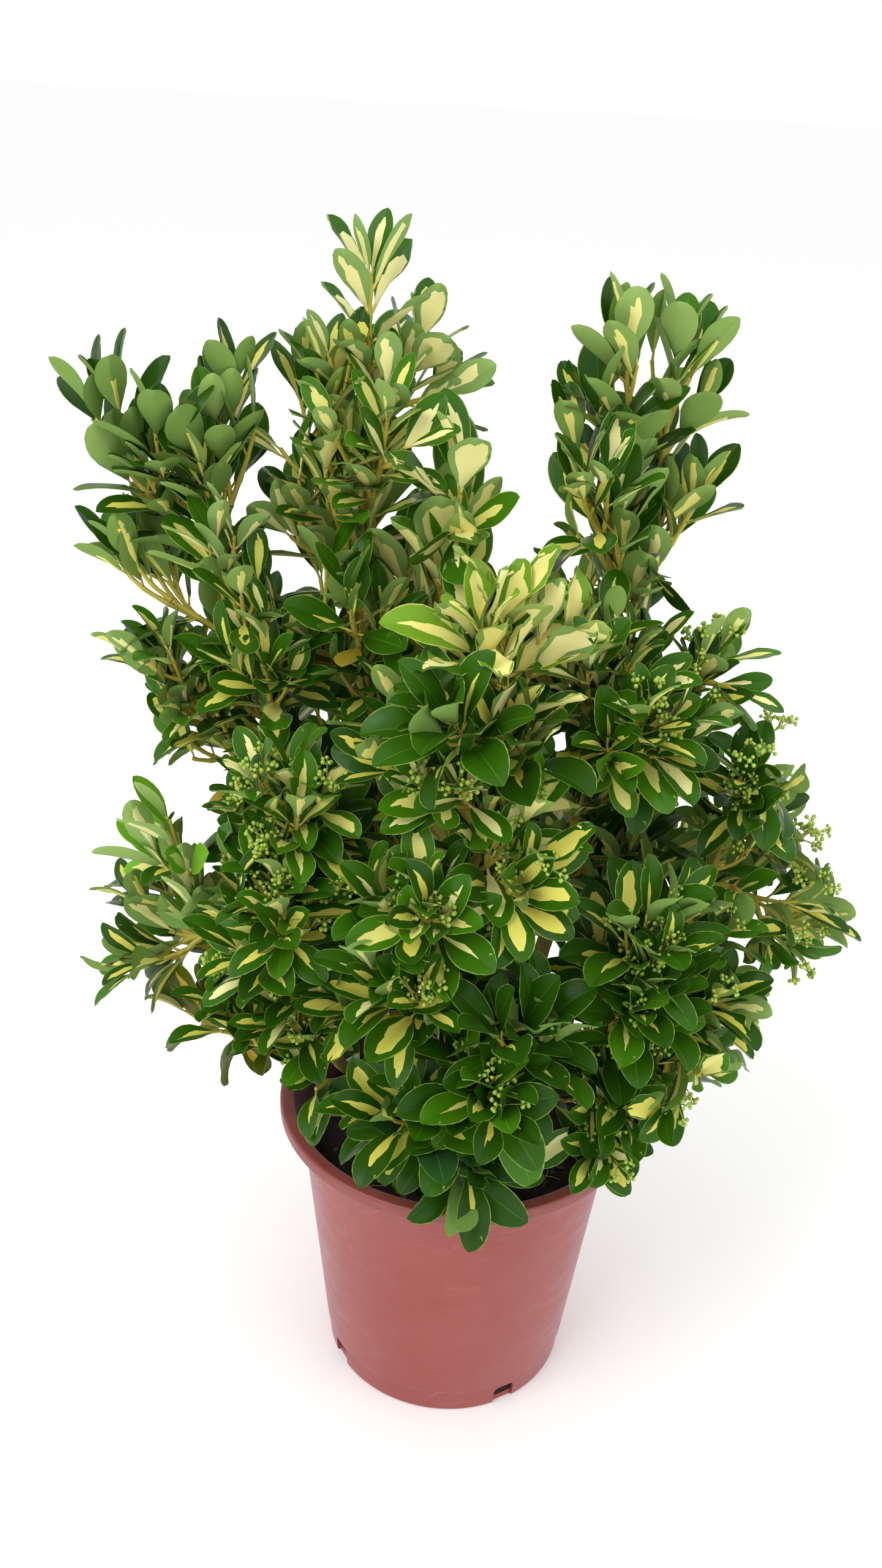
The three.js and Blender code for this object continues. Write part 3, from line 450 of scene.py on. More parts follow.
# How far a leaf arches back, in degrees: straight shapes, then arched ones; most of it near the tip
RECURVE = ((4, 26), (14, 52))
LEAF_LIFT = 0.4
LEAF_CURL = 1.7
# The splash is four fingers wide, two on each side of the midrib, and each finger ends at its own row
SPLASH_WIDTH = (0, 0.22, 0.35, 0.5, 0.84)
SPLASH_LENGTH = (0, 0.8, 0.94, 1, 1.05)
FINGER_SHARE = (1, 0.5, 0.5, 1)
FINGER_REACH = (0.55, 0.82, 0.82, 0.55)
FINGER_TIP = 0.3
FINGER_VARIES = (0.8, 1.2)
SPLASH_MOST = 0.92
SPLASH_FOOT = 1.6
SPLASH_BELOW = 0.9
# Shapes of each splash level: straight ones for upright shoots, then arched ones
STRAIGHT_SHAPES = 3
SHAPES_PER_LEVEL = 7
LAST_STRAIGHT_PAIR = 3
LEAF_FIELDS = {"kind": "INT", "size": "FLOAT", "turn": "QUATERNION", "colouring": "INT"}

# Flower buds: how likely a leaf axil of each mass is to have them, as a share of BUD_SHARE
BUD_MASSES = {
    "front_upper": 0.98, "front_middle": 1.00, "front_left_lower": 0.65, "front_lower": 0.59,
    "front_right": 0.91, "front_right_low": 0.59, "right_shoulder": 0.98, "right_inner": 0.91,
    "right_middle": 0.78, "right_outer": 0.6, "right_low": 0.65, "middle_low": 0.78, "left_front": 0.65,
    "left_front_upper": 0.52, "front_low": 0.52, "back_high": 0.52,
    "back_left": 0.39, "back_right": 0.45, "back_right_low": 0.39, "back_left_low": 0.39,
}
BUD_SIZE = 3.1
BUD_VARIES = (0.75, 1.15)
# A bud's rings from its base: height and radius
BUD_RINGS = ((-0.7, 0.72), (0.1, 1), (0.78, 0.6))
BUD_SIDES = 6
BUD_LOBE = 0.05
BUDS_ON_RAY = 5
# Only these pairs of leaves have buds, and only out near the crown's surface, nearer at its sides
BUD_PAIRS = (1, 2)
BUD_SHARE = 0.8
BUD_SHELL = 95
BUD_NARROW = 0.7
# Flower stalks: lengths and radii of the stalk, its rays and the buds' own stalks
PEDUNCLE = (19, 31)
RAY = (7, 13)
PEDICEL = (3.2, 5.6)
STALK_RADII = (0.75, 0.5, 0.4)
FEWEST_RAYS = 3
EXTRA_RAYS = 3
TURN_CHANCE = 0.2
PEDUNCLE_BOW = 1
# Their directions: shares of the leaf's own way, its face and straight up, then of the parent and sideways
PEDUNCLE_WAY = (0.55, 0.7, 0.25)
RAY_WAY = (0.75, 0.65)
PEDICEL_WAY = (0.6, 0.8)

# The photograph's camera: place in metres, turns in degrees, and its lens and sensor in millimetres
CAMERA_PLACE = (0, -0.937, 0.972)
CAMERA_YAW = -1.6
CAMERA_PITCH = 26.15
CAMERA_ROLL = 2.96
CAMERA_LENS = 33.75
CAMERA_SENSOR = 36
CAMERA_POINT = np.array(CAMERA_PLACE) / MM
LANE_RAYS = np.array([(x, LANE_FRONT, z) for x, z, _ in LANES]) - CAMERA_POINT
LANE_DEPTHS = np.linalg.norm(LANE_RAYS, axis=1)
LANE_WAYS = LANE_RAYS / LANE_DEPTHS[:, None]
LANE_SLOPES = np.array([radius for *_, radius in LANES]) / LANE_DEPTHS
# Lights: place and size in metres, and share of the key light's power; they point at one place
LIGHTS = {"key": ((-1.3, -1.5, 2.4), 1.6, 1), "fill": ((1.8, -1.0, 1.6), 1.8, 0.3)}
LIT_POINT = Vector((0, 0, 0.5))
FLOOR_HALF = 40


def linear(colour):
    """The linear colour of an sRGB hex value."""
    parts = [int(colour[i:i + 2], 16) / 255 for i in (0, 2, 4)]
    return [p / 12.92 if p <= 0.04045 else ((p + 0.055) / 1.055) ** 2.4 for p in parts]


def chance(*keys):
    """A repeatable number from 0 to 1 for whole-number keys; the last one tells one draw from another."""
    mixed = 2166136261
    for key in keys:
        mixed = ((mixed ^ key) * 16777619) & WORD
        mixed ^= mixed >> 15
        mixed = (mixed * 2246822519) & WORD
        mixed ^= mixed >> 13
    return mixed / (WORD + 1)


def within(ends, share):
    """The value at a share of the way between two ends."""
    return ends[0] + (ends[1] - ends[0]) * share


def blend(*pairs):
    """The unit vector of a weighted sum, given as vector and weight pairs."""
    total = Vector()
    for direction, weight in pairs:
        total += direction * weight
    return total.normalized()


def swung(first, second, turn):
    """The direction at an angle from the first of two directions towards the second."""
    return blend((first, math.cos(turn)), (second, math.sin(turn)))


def sideways(axis):
    """Two directions square to an axis and to each other."""
    across = axis.cross(UP)
    if across.length < STEEP:
        across = axis.cross(BACK)
    across.normalize()
    return across, axis.cross(across)


class Course:
    """A cubic curve that leaves along one direction and arrives along another."""

    def __init__(self, start, leaving, end, arriving):
        pull = (end - start).length * LIMB_PULL
        self.marks = (start, start + leaving * pull, end - arriving * pull, end)
        shares = np.linspace(0, 1, COURSE_STEPS + 1)
        points = np.array([self.point(t) for t in shares])
        steps = np.linalg.norm(np.diff(points, axis=0), axis=1)
        self.shares = shares
        self.run = np.concatenate([[0], np.cumsum(steps)])
        self.length = float(self.run[-1])

    def point(self, t):
        """The point at a share of the curve."""
        a, b, c, d = self.marks
        u = 1 - t
        return a * u ** 3 + b * (3 * u * u * t) + c * (3 * u * t * t) + d * t ** 3

    def along(self, t):
        """The curve's direction at a share of it."""
        a, b, c, d = self.marks
        t = min(max(t, CURVE_END), 1 - CURVE_END)
        u = 1 - t
        return ((b - a) * (u * u) + (c - b) * (2 * u * t) + (d - c) * (t * t)).normalized()

    def share(self, distance):
        """The share of the curve at a distance from its start."""
        return float(np.interp(distance, self.run, self.shares))

    def distance(self, t):
        """The distance from the start at a share of the curve."""
        return float(np.interp(t, self.shares, self.run))

    def sides(self, t):
        """Two directions square to the curve, carried along it from its start."""
        tangent = self.along(t)
        across = sideways(self.along(0))[0]
        across = (across - tangent * across.dot(tangent)).normalized()
        return across, tangent.cross(across)


def bent_course(start, end, parent, bend):
    """A limb's curve, bent by its shares of the parent's direction, the straight line and straight up."""
    ways = (parent, (end - start).normalized(), UP)
    leaving, arriving = (blend(*zip(ways, shares)) for shares in bend)
    return Course(start, leaving, end, arriving)


class Twig:
    """A shoot: its curve, its keys for random numbers, whether it leads, and where it leaves its parent."""

    def __init__(self, course, keys, lead, root=0):
        self.course = course
        self.keys = keys
        self.lead = lead
        self.root = root
        self.reach = course.length
        self.turned = 2 * math.pi * chance(*keys, 7)


def grow_limbs():
    """Every stem and bough as a curve with a radius at each share of its length."""
    limbs = {}
    for name, (foot, top, radii) in STEMS.items():
        start = Vector((*foot, STEM_START))
        limbs[name] = (bent_course(start, Vector(top), UP, STEM_BEND), radii, True)
    for name, (source, at, top, radii) in BOUGHS.items():
        parent = limbs[source][0]
        bend = TIP_BOUGH_BEND if at == 1 else SIDE_BOUGH_BEND
        limbs[name] = (bent_course(parent.point(at), Vector(top), parent.along(at), bend), radii, False)
    return limbs


def habit(name):
    """How a mass holds its leaves: closed on the leaders, half open high up, and in rosettes below."""
    mass = MASSES[name]
    if mass.side_length <= UPRIGHT_SIDE or name in CLOSED_MASSES:
        return "upright"
    if name in OPEN_MASSES:
        return "spreading"
    high = min(z for *_, z in mass.goals) > RISING_ABOVE
    return "rising" if high or mass.tone == "fresh" else "spreading"


def branch(parent, t, number, way, lengths, taper):
    """A twig off another, on a spiral round it, that curves up; its length is a chance one times a taper."""
    keys = (*parent.keys, number)
    start, axis = parent.course.point(t), parent.course.along(t)
    turn = 2 * math.pi * (SIDE_SPIRAL * number + chance(*keys, 1))
    angle = math.radians(within(TWIG_ANGLE[way], chance(*keys, 2)))
    leaving = swung(axis, swung(*sideways(axis), turn), angle)
    if way == "spreading":
        leaving = blend((leaving, 1), (Vector((start.x, start.y, 0)), OUTWARD))
    length = within(lengths, chance(*keys, 3)) * taper
    end = start + leaving * (TWIG_REACH * length) + UP * (TWIG_RISE[way] * length)
    end += axis * (TWIG_DRIFT * length)
    arriving = blend(*zip((leaving, UP, axis), TWIG_ARRIVES))
    return Twig(Course(start, leaving, end, arriving), keys, False, parent.course.distance(t))


def in_lane(point):
    """Whether a point is in one of the lanes that are open to the sky."""
    away = np.array(point) - CAMERA_POINT
    along = LANE_WAYS @ away
    aside = np.linalg.norm(away - along[:, None] * LANE_WAYS, axis=1)
    return bool((aside < along * LANE_SLOPES).any())


def fine_twigs_of(parent, spacing, spread_over, way):
    """The finer twigs of a lead or limb, some with a twig of their own; none ends in a lane."""
    number = int(parent.course.length * (spread_over[1] - spread_over[0]) // spacing)
    places = [within(spread_over, (j + 0.5) / number) for j in range(number)]
    own = [branch(parent, t, FINE_KEYS + j, way, FINE_LENGTH[way], within(FINE_TAPER, t))
           for j, t in enumerate(places)]
    own += [branch(twig, THIRD_PLACE, 0, way, THIRD_LENGTH, within(FINE_TAPER, THIRD_PLACE))
            for twig in own if chance(*twig.keys, 5) < THIRD_SHARE]
    return [twig for twig in own if not in_lane(twig.course.point(1))]


def twigs_of(name, limbs):
    """A mass's twigs: one lead to each point that it reaches, with side twigs off every lead."""
    mass, index, way = MASSES[name], MASS_NAMES.index(name), habit(name)
    bare = name in SINGLE_SHOOTS
    leads, sides, fine = [], [], []
    for k, goal in enumerate(mass.goals):
        parent = leads[0].course if k else limbs[mass.limb][0]
        t = LEAD_FIRST + LEAD_STEP * k if k else mass.share
        start, end = parent.point(t), Vector(goal)
        end -= (end - start).normalized() * (LEAF_REACH * mass.leaf_size)
        bend = LEAD_BEND if goal[2] > DROOPING_BELOW else DROOPING_BEND
        if way == "upright":
            bend = UPRIGHT_BEND
        lead = Twig(bent_course(start, end, parent.along(t), bend), (index, k), True, parent.distance(t))
        leads.append(lead)
        count = int(lead.course.length // SIDE_SPACING[way])
        for j in range(count):
            t = SIDE_FIRST + SIDE_SPREAD * (j + 0.5) / count
            taper = mass.side_length * (SIDE_TAPER[0] - SIDE_TAPER[1] * t)
            sides.append(branch(lead, t, j, "side", SIDE_VARIES, taper))
        if not bare:
            fine += fine_twigs_of(lead, FINE_SPACING[way], FINE_SPREAD[way], way)
    # Spurs straight off the limb, and off the stem that a mass also covers
    if mass.share == 1 and not bare or name in SPURRED_MASSES:
        limb = Twig(limbs[mass.limb][0], (index, SPUR_KEY), True)
        fine += fine_twigs_of(limb, SPUR_SPACING, SPUR_SPREAD, way)
    if name in STEM_SPURS:
        stem, spread_over = STEM_SPURS[name]
        limb = Twig(limbs[stem][0], (index, STEM_SPUR_KEY), True)
        fine += fine_twigs_of(limb, STEM_SPUR_SPACING, spread_over, way)
    return leads, sides, fine


def pair_places(twig, name):
    """The distance from the tip of each pair of leaves on a twig."""
    gaps = PAIR_GAPS[habit(name)]
    places, down = [], 0
    for n in range(LEAD_PAIRS if twig.lead else SIDE_PAIRS):
        down += gaps[min(n, len(gaps) - 1)] * within(PAIR_GAP_VARIES, chance(*twig.keys, n, 8))
        if down > twig.course.length * LEAFY_SHARE[twig.lead]:
            break
        places.append(down)
    return places


def leaf_at(twig, name, down, pair, side):
    """One leaf of a pair: its root, its direction, its upper face and its size."""
    def off_centre(key):
        return chance(*twig.keys, pair, side, key) - 0.5

    t = twig.course.share(twig.course.length - down)
    axis = twig.course.along(t)
    across, upward = twig.course.sides(t)
    turn = twig.turned + pair * math.pi / 2 + side * math.pi + math.radians(TURN_VARIES * off_centre(9))
    outward = swung(across, upward, turn)
    first, step, most = LEAF_PITCH[habit(name)]
    pitch = math.radians(min(most, first + step * pair) + PITCH_VARIES * off_centre(10))
    along = swung(axis, outward, pitch)
    face = blend((axis, math.sin(pitch)), (outward, -math.cos(pitch)))
    face.rotate(Quaternion(along, math.radians(TWIST_VARIES * off_centre(11))))
    face += UP * FACE_LIFT[habit(name)]
    face = (face - along * face.dot(along)).normalized()
    grown = min(1, FIRST_LEAF_SIZE + LEAF_SIZE_STEP * pair)
    size = grown * within(LEAF_SIZE_VARIES, chance(*twig.keys, pair, side, 12)) * MASSES[name].leaf_size
    return {"root": twig.course.point(t), "along": along, "face": face, "size": size,
            "pair": pair, "side": side, "keys": twig.keys, "place": twig.course.length - down}


def outside_pot(point):
    """Whether a point is clear of the pot's wall and the compost."""
    radius = math.hypot(point.x, point.y)
    if point.z > POT_HEIGHT + POT_CLEARANCE:
        return True
    if radius < MOUTH_RADIUS - SOIL_GAP:
        return point.z > SOIL_TOP + SOIL_GAP
    return radius > RIM_RADIUS + POT_CLEARANCE


def has_room(leaf, taken):
    """Whether a leaf is clear of the pot and not in the place of a leaf of another twig."""
    length = LEAF_LENGTH * leaf["size"]
    across = leaf["face"].cross(leaf["along"]) * (FREE_ACROSS * length)
    middle = leaf["root"] + leaf["along"] * (FREE_MIDDLE * length)
    marks = [leaf["root"] + leaf["along"] * (share * length) for share in FREE_ALONG]
    marks += [middle, middle + across, middle - across]
    if any(in_lane(mark) or not outside_pot(mark) for mark in marks):
        return False
    cell = tuple(int(value // LEAF_SPACING) for value in middle)
    for near in product(*((place - 1, place, place + 1) for place in cell)):
        for other, keys in taken.get(near, ()):
            if keys != leaf["keys"] and (other - middle).length < LEAF_SPACING:
                return False
    taken.setdefault(cell, []).append((middle, leaf["keys"]))
    return True


def cut_back(twigs, leaves):
    """Cuts each twig back to its last leaf or finer twig, and drops those that have neither."""
    reach, kept = {}, []
    for leaf in leaves:
        reach[leaf["keys"]] = max(reach.get(leaf["keys"], 0), leaf["place"])
    for twig in reversed(twigs):
        if twig.keys in reach:
            twig.reach = min(twig.course.length, reach[twig.keys] + NODE_HALF)
            kept.append(twig)
            index, *rest = twig.keys
            parent = (index, 0) if twig.lead and rest[0] else twig.keys[:-1]
            reach[parent] = max(reach.get(parent, 0), twig.root)
    return kept[::-1]


def grow_plant():
    """The whole plant by its rule: limbs, and the twigs and leaves of every mass."""
    limbs = grow_limbs()
    orders = {name: twigs_of(name, limbs) for name in MASSES}
    leaves, taken = {name: [] for name in MASSES}, {}
    # Leaves of the leads take their room first, then those of the side twigs and of the finer ones
    for order, name in product(range(TWIG_ORDERS), MASSES):
        for twig in orders[name][order]:
            for pair, down in enumerate(pair_places(twig, name)):
                pair_leaves = (leaf_at(twig, name, down, pair, side) for side in (0, 1))
                leaves[name] += [leaf for leaf in pair_leaves if has_room(leaf, taken)]
    twigs = {name: cut_back(sum(rows, []), leaves[name]) for name, rows in orders.items()}
    return {"limbs": limbs, "twigs": twigs, "leaves": leaves}


# Grown once; the operators turn its limbs, twigs and leaves into meshes
PLANT = grow_plant()


def socket(sockets, key):
    """A node's socket by its position, by its identifier, or by its name among those in use."""
    if isinstance(key, int):
        return sockets[key]
    for found in sockets:
        if found.identifier == key and found.enabled:
            return found
    return next(found for found in sockets if found.name == key and found.enabled)


def fill(tree, node, inputs):
    """Sets a node's inputs, a colour also by its hex value, or links them to a socket or another node."""
    for key, value in inputs.items():
        target = socket(node.inputs, key)
        if isinstance(value, bpy.types.Node):
            value = next(found for found in value.outputs if found.enabled)
        if isinstance(value, bpy.types.NodeSocket):
            tree.links.new(value, target)
        elif isinstance(value, str) and target.type == "RGBA":
            target.default_value = (*linear(value), 1)
        else:
            target.default_value = value


def add(tree, kind, inputs=None, **settings):
    """Adds a node to a tree, sets its options, and fills its inputs."""
    node = tree.nodes.new(kind)
    for key, value in settings.items():
        setattr(node, key, value)
    fill(tree, node, inputs or {})
    return node


def out(node, key):
    """A node's output socket by its name."""
    return socket(node.outputs, key)


def new_tree(name, sizes):
    """An empty geometry tree whose named inputs have a kind and a first value, and its input node."""
    tree = bpy.data.node_groups.new(name, "GeometryNodeTree")
    for label, (kind, value) in {"Geometry": ("Geometry", None), **sizes}.items():
        item = tree.interface.new_socket(label, in_out="INPUT", socket_type="NodeSocket" + kind)
        if value is not None:
            item.default_value = value
    tree.interface.new_socket("Geometry", in_out="OUTPUT", socket_type="NodeSocketGeometry")
    return tree, tree.nodes.new("NodeGroupInput")


def end_tree(tree, geometry, layers):
    """Ends a geometry tree: makes its instances real, and sets each material where its selection says."""
    geometry = add(tree, "GeometryNodeRealizeInstances", {"Geometry": geometry})
    for material, selection in layers:
        geometry = add(tree, "GeometryNodeSetMaterial", {
            "Geometry": geometry, "Selection": selection, "Material": material})
    add(tree, "NodeGroupOutput", {"Geometry": geometry})
    return tree


def grown_mesh(name, points, tree, **values):
    """The plain mesh that a geometry tree makes of a point or edge mesh."""
    carrier = bpy.data.objects.new(name, points)
    bpy.context.scene.collection.objects.link(carrier)
    modifier = carrier.modifiers.new(tree.name, "NODES")
    modifier.node_group = tree
    for item in tree.interface.items_tree:
        if item.in_out == "INPUT" and item.name in values:
            modifier[item.identifier] = values[item.name]
    graph = bpy.context.evaluated_depsgraph_get()
    mesh = bpy.data.meshes.new_from_object(carrier.evaluated_get(graph), depsgraph=graph)
    carrier.modifiers.remove(modifier)
    bpy.data.objects.remove(carrier)
    if not mesh.polygons:
        raise RuntimeError(f"{name}: its tree made no faces")
    mesh.name = name
    return mesh


def mesh_of(name, points, faces=(), edges=(), unit=MM):
    """A mesh of points, in millimetres unless another unit is given."""
    mesh = bpy.data.meshes.new(name)
    mesh.from_pydata([tuple(value * unit for value in p) for p in points], list(edges), list(faces))
    return mesh


def circle(radius, sides, shift=0):
    """Points round the axis as x and y, the first one a share of a step past the X axis."""
    turns = [2 * math.pi * (k + shift) / sides for k in range(sides)]
    return [(radius * math.cos(turn), radius * math.sin(turn)) for turn in turns]


def closed_rings(rings, sides):
    """Faces over rings of points, closed on point 0 below them and on point 1 above."""
    faces = []
    for k in range(sides):
        after = (k + 1) % sides
        faces.append((0, 2 + after, 2 + k))
        for ring in range(rings - 1):
            low, high = 2 + ring * sides, 2 + (ring + 1) * sides
            faces.append((low + k, low + after, high + after, high + k))
        faces.append((high + k, high + after, 1))
    return faces


def set_attribute(mesh, name, kind, domain, values):
    """Adds an attribute with a value for every point, edge or face."""
    attribute = mesh.attributes.new(name, kind, domain)
    attribute.data.foreach_set("value", np.array(values).ravel())


def place_piece(name, mesh, nodes=()):
    """Puts a finished mesh in the scene as a piece that stands for CAD nodes."""
    piece = bpy.data.objects.new(name, mesh)
    bpy.context.scene.collection.objects.link(piece)
    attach(piece, "root")
    if nodes:
        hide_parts(*nodes)


def new_finish(name, **values):
    """A material with a Principled shader, and its tree and shader."""
    finish = bpy.data.materials.new(name)
    finish.use_nodes = True
    tree = finish.node_tree
    shader = tree.nodes["Principled BSDF"]
    fill(tree, shader, {key.replace("_", " ").title().replace("Ior", "IOR"): value
                        for key, value in values.items()})
    return finish, tree, shader


def patches(tree, scale, detail=3, roughness=0.55, stretch=(1, 1, 1)):
    """A pattern of soft patches on Object coordinates, so many to the metre and drawn out by a stretch."""
    place = out(add(tree, "ShaderNodeTexCoord"), "Object")
    mapped = add(tree, "ShaderNodeMapping", {"Vector": place, "Scale": stretch})
    return add(tree, "ShaderNodeTexNoise",
               {"Vector": mapped, "Scale": scale, "Detail": detail, "Roughness": roughness})


def two_tone(tree, pattern, first, second, ends=PATCH_ENDS):
    """One colour that turns to another where a pattern is high."""
    share = add(tree, "ShaderNodeMapRange", {"Value": pattern, **ends})
    return add(tree, "ShaderNodeMix", {"Factor_Float": share, "A_Color": first, "B_Color": second},
               data_type="RGBA")


def leaf_finish(colouring, zone):
    """Living leaf cuticle: waxy and glossy above, matt and paler below."""
    below = zone.startswith("under")
    finish, tree, shader = new_finish(
        f"leaf cuticle {colouring} {zone}", base_color=COLOURINGS[colouring][ZONES.index(zone)],
        roughness=0.62 if below else 0.36, ior=1.45, specular_ior_level=0.12 if below else 0.22)
    if zone in ("margin", "midrib", "stalk"):
        return finish
    # Quilting between the side veins, about 4 mm apart, breaks up the gloss
    quilting = add(tree, "ShaderNodeBump", {
        "Height": patches(tree, 240, detail=2), "Strength": 0.35, "Distance": 0.0006})
    low, high = (0.55, 0.7) if below else (0.28, 0.44)
    gloss = add(tree, "ShaderNodeMapRange", {
        "Value": patches(tree, 60, detail=1), **PATCH_ENDS, "To Min": low, "To Max": high})
    fill(tree, shader, {"Roughness": gloss, "Normal": quilting})
    return finish


def grained_finish(name):
    """A plant skin of one colour with a fine grain, from GRAINED."""
    colour, roughness, specular, scale, lengthwise, strength, depth = GRAINED[name]
    finish, tree, shader = new_finish(name, base_color=colour, roughness=roughness, ior=1.45,
                                      specular_ior_level=specular)
    grain = patches(tree, scale, stretch=(1, 1, lengthwise))
    relief = add(tree, "ShaderNodeBump", {"Height": grain, "Strength": strength, "Distance": depth})
    fill(tree, shader, {"Normal": relief})
    return finish


def bark_finish():
    """Spindle bark: grey-brown and fissured low down, olive and yellow towards the tops."""
    finish, tree, shader = new_finish("fissured spindle bark", roughness=0.8, ior=1.45)
    age = out(add(tree, "ShaderNodeAttribute", attribute_name="age"), "Fac")
    blotches = patches(tree, 55, stretch=(1, 1, 0.4))
    streaks = patches(tree, 420, stretch=(1, 1, 0.14))
    young = two_tone(tree, blotches, "bba548", "8f8036")
    old = two_tone(tree, streaks, "7d6440", "473522")
    bark = add(tree, "ShaderNodeMix", {"Factor_Float": age, "A_Color": young, "B_Color": old},
               data_type="RGBA")
    fissures = add(tree, "ShaderNodeBump", {"Height": streaks, "Strength": 0.7, "Distance": 0.0008})
    fill(tree, shader, {"Base Color": bark, "Normal": fissures})
    return finish


def bud_finish():
    """Flower bud: plump, pale green, with a faint waxy bloom."""
    finish, tree, shader = new_finish("closed flower bud", base_color="a5c04c", ior=1.42)
    bloom = add(tree, "ShaderNodeMapRange", {
        "Value": patches(tree, 500), **PATCH_ENDS, "To Min": 0.38, "To Max": 0.55})
    fill(tree, shader, {"Roughness": bloom})
    return finish


def leaf_point(form, share, row):
    """A point of a leaf, in shares of its length: along +Y, face up, root at the origin."""
    at = min(1, row + LEAF_SHEAR * abs(share) * 4 * row * (1 - row))
    half = form["width"] * float(np.interp(at, OUTLINE_AT, OUTLINE))
    x = share * half
    lift = form["fold"] * abs(x) - form["camber"] * x * x
    wave = math.sin(form["waves"] * at + form["phase"] + (share > 0) * WAVE_SHIFT)
    lift += form["wave"] * share * share * wave
    lift += form["twist"] * x * at
    y = float(np.interp(at, form["steps"], form["forward"]))
    z = float(np.interp(at, form["steps"], form["rise"]))
    slope = float(np.interp(at, form["steps"], form["slope"]))
    return Vector((x, LEAF_STALK + y - lift * math.sin(slope), z + lift * math.cos(slope)))


def leaf_form(level, shape):
    """How one kind of leaf is folded, arched, waved and splashed."""
    def draw(key, ends):
        return within(ends, chance(level, shape, key, 31))

    form = {label: draw(key, ends) for key, (label, ends) in enumerate(LEAF_FORMS.items(), 2)}
    form["reach"] *= SPLASH_LENGTH[level]
    if level == CURLY_LEVEL:
        form["wave"] = draw(5, CURLY_WAVE)
    recurve = math.radians(draw(1, RECURVE[shape >= STRAIGHT_SHAPES]))
    steps = np.linspace(0, 1, LEAF_LINES)
    slope = recurve * LEAF_LIFT - recurve * steps ** LEAF_CURL
    stride = np.full(LEAF_LINES, 1 / (LEAF_LINES - 1))
    stride[0] = 0
    form.update(steps=steps, slope=slope, forward=np.cumsum(stride * np.cos(slope)),
                rise=np.cumsum(stride * np.sin(slope)))
    return form


def splash_lines(form, level, shape, row):
    """The edges of the splash's fingers at a row, from left to right, in shares of the half width."""
    lines = []
    for finger, share in enumerate(FINGER_SHARE):
        side = -1 if finger < 2 else 1
        ragged = within(FINGER_VARIES, chance(level, shape, row, finger, 32))
        leaning = 1 + side * form["side"]
        wide = SPLASH_FOOT if row == 0 else 1
        lines.append(side * min(SPLASH_MOST * share, SPLASH_WIDTH[level] * share * ragged * leaning * wide))
    # A finger narrows to its tip at its last row
    after = (*LEAF_ROWS, 1)[row + 1]
    last = [LEAF_ROWS[row] <= end < after for end in splash_ends(form, level, shape)]
    for finger in (1, 2):
        lines[finger] *= FINGER_TIP if last[finger] else 1
    for finger, inner in ((0, 1), (3, 2)):
        if last[finger]:
            lines[finger] = lines[inner] + (lines[finger] - lines[inner]) * FINGER_TIP
    return lines


def splash_ends(form, level, shape):
    """How far along the leaf each finger of the splash reaches."""
    return [form["reach"] * within((low, 1), chance(level, shape, finger, 33))
            for finger, low in enumerate(FINGER_REACH)]


def strips(lines, zones_at, teeth, flip):
    """Faces and zones between lines of points across a leaf, from its root to its tip."""
    faces, zones = [], []
    last = len(lines[0]) - 2
    for row in range(len(lines) + 1):
        for c, zone in enumerate(zones_at(row)):
            if row == 0:
                face = (0, lines[0][c + 1], lines[0][c])
            elif row == len(lines):
                face = (lines[-1][c], lines[-1][c + 1], 1)
            else:
                a, b = lines[row - 1], lines[row]
                left = (teeth[row - 1][0],) if c == 0 else ()
                right = (teeth[row - 1][1],) if c == last else ()
                face = (a[c], a[c + 1], *right, b[c + 1], b[c], *left)
            faces.append(face[::-1] if flip else face)
            zones.append(zone)
    return faces, zones


def blade_points(form, level, shape):
    """A blade's points, and which of them are its rows, its rows below, and the teeth between the rows."""
    points = [leaf_point(form, 0, 0), leaf_point(form, 0, 1)]
    rows, under_rows, teeth = [], [], []
    for i, at in enumerate(LEAF_ROWS):
        if level:
            splash = splash_lines(form, level, shape, i)
            shares = (-1, -MARGIN_SHARE, *splash[:2], 0, *splash[2:], MARGIN_SHARE, 1)
            inner = (splash[0] * SPLASH_BELOW, 0, splash[3] * SPLASH_BELOW)
        else:
            half = (-MARGIN_SHARE, -HALF_SHARE, -RIB_SHARE)
            shares = (-1, *half, *(-share for share in reversed(half)), 1)
            inner = (0,)
        first = len(points)
        points += [leaf_point(form, share, at) for share in shares]
        rows.append(list(range(first, len(points))))
        first = len(points)
        points += [leaf_point(form, share, at) - Vector((0, 0, KEEL * (1 - abs(share)))) for share in inner]
        under_rows.append([rows[-1][0], *range(first, len(points)), rows[-1][-1]])
    # Each tooth stands level with the rim on both sides of it, so the two faces of the blade stay apart
    for i, (low, high) in enumerate(zip(LEAF_ROWS, LEAF_ROWS[1:])):
        teeth.append((len(points), len(points) + 1))
        for side in (-1, 1):
            tooth = leaf_point(form, side * (1 + TOOTH), within((low, high), TOOTH_PLACE))
            rim = 0 if side < 0 else -1
            tooth.z = within([points[row[rim]].z for row in rows[i:i + 2]], TOOTH_PLACE)
            points.append(tooth)
    return points, rows, under_rows, teeth


def add_stalk(points, end):
    """Adds a closed four-sided stalk from the twig to a place in the blade, and gives its faces."""
    first = len(points)
    for centre in (Vector(), end):
        for turn in range(4):
            angle = math.radians(90 * turn + 45)
            points.append(centre + Vector((math.cos(angle), 0, math.sin(angle))) * STALK_THICKNESS)
    ring = [first + k for k in range(4)]
    sides = [(ring[k], ring[k] + 4, ring[(k + 1) % 4] + 4, ring[(k + 1) % 4]) for k in range(4)]
    return [*sides, tuple(ring), tuple(k + 4 for k in reversed(ring))]


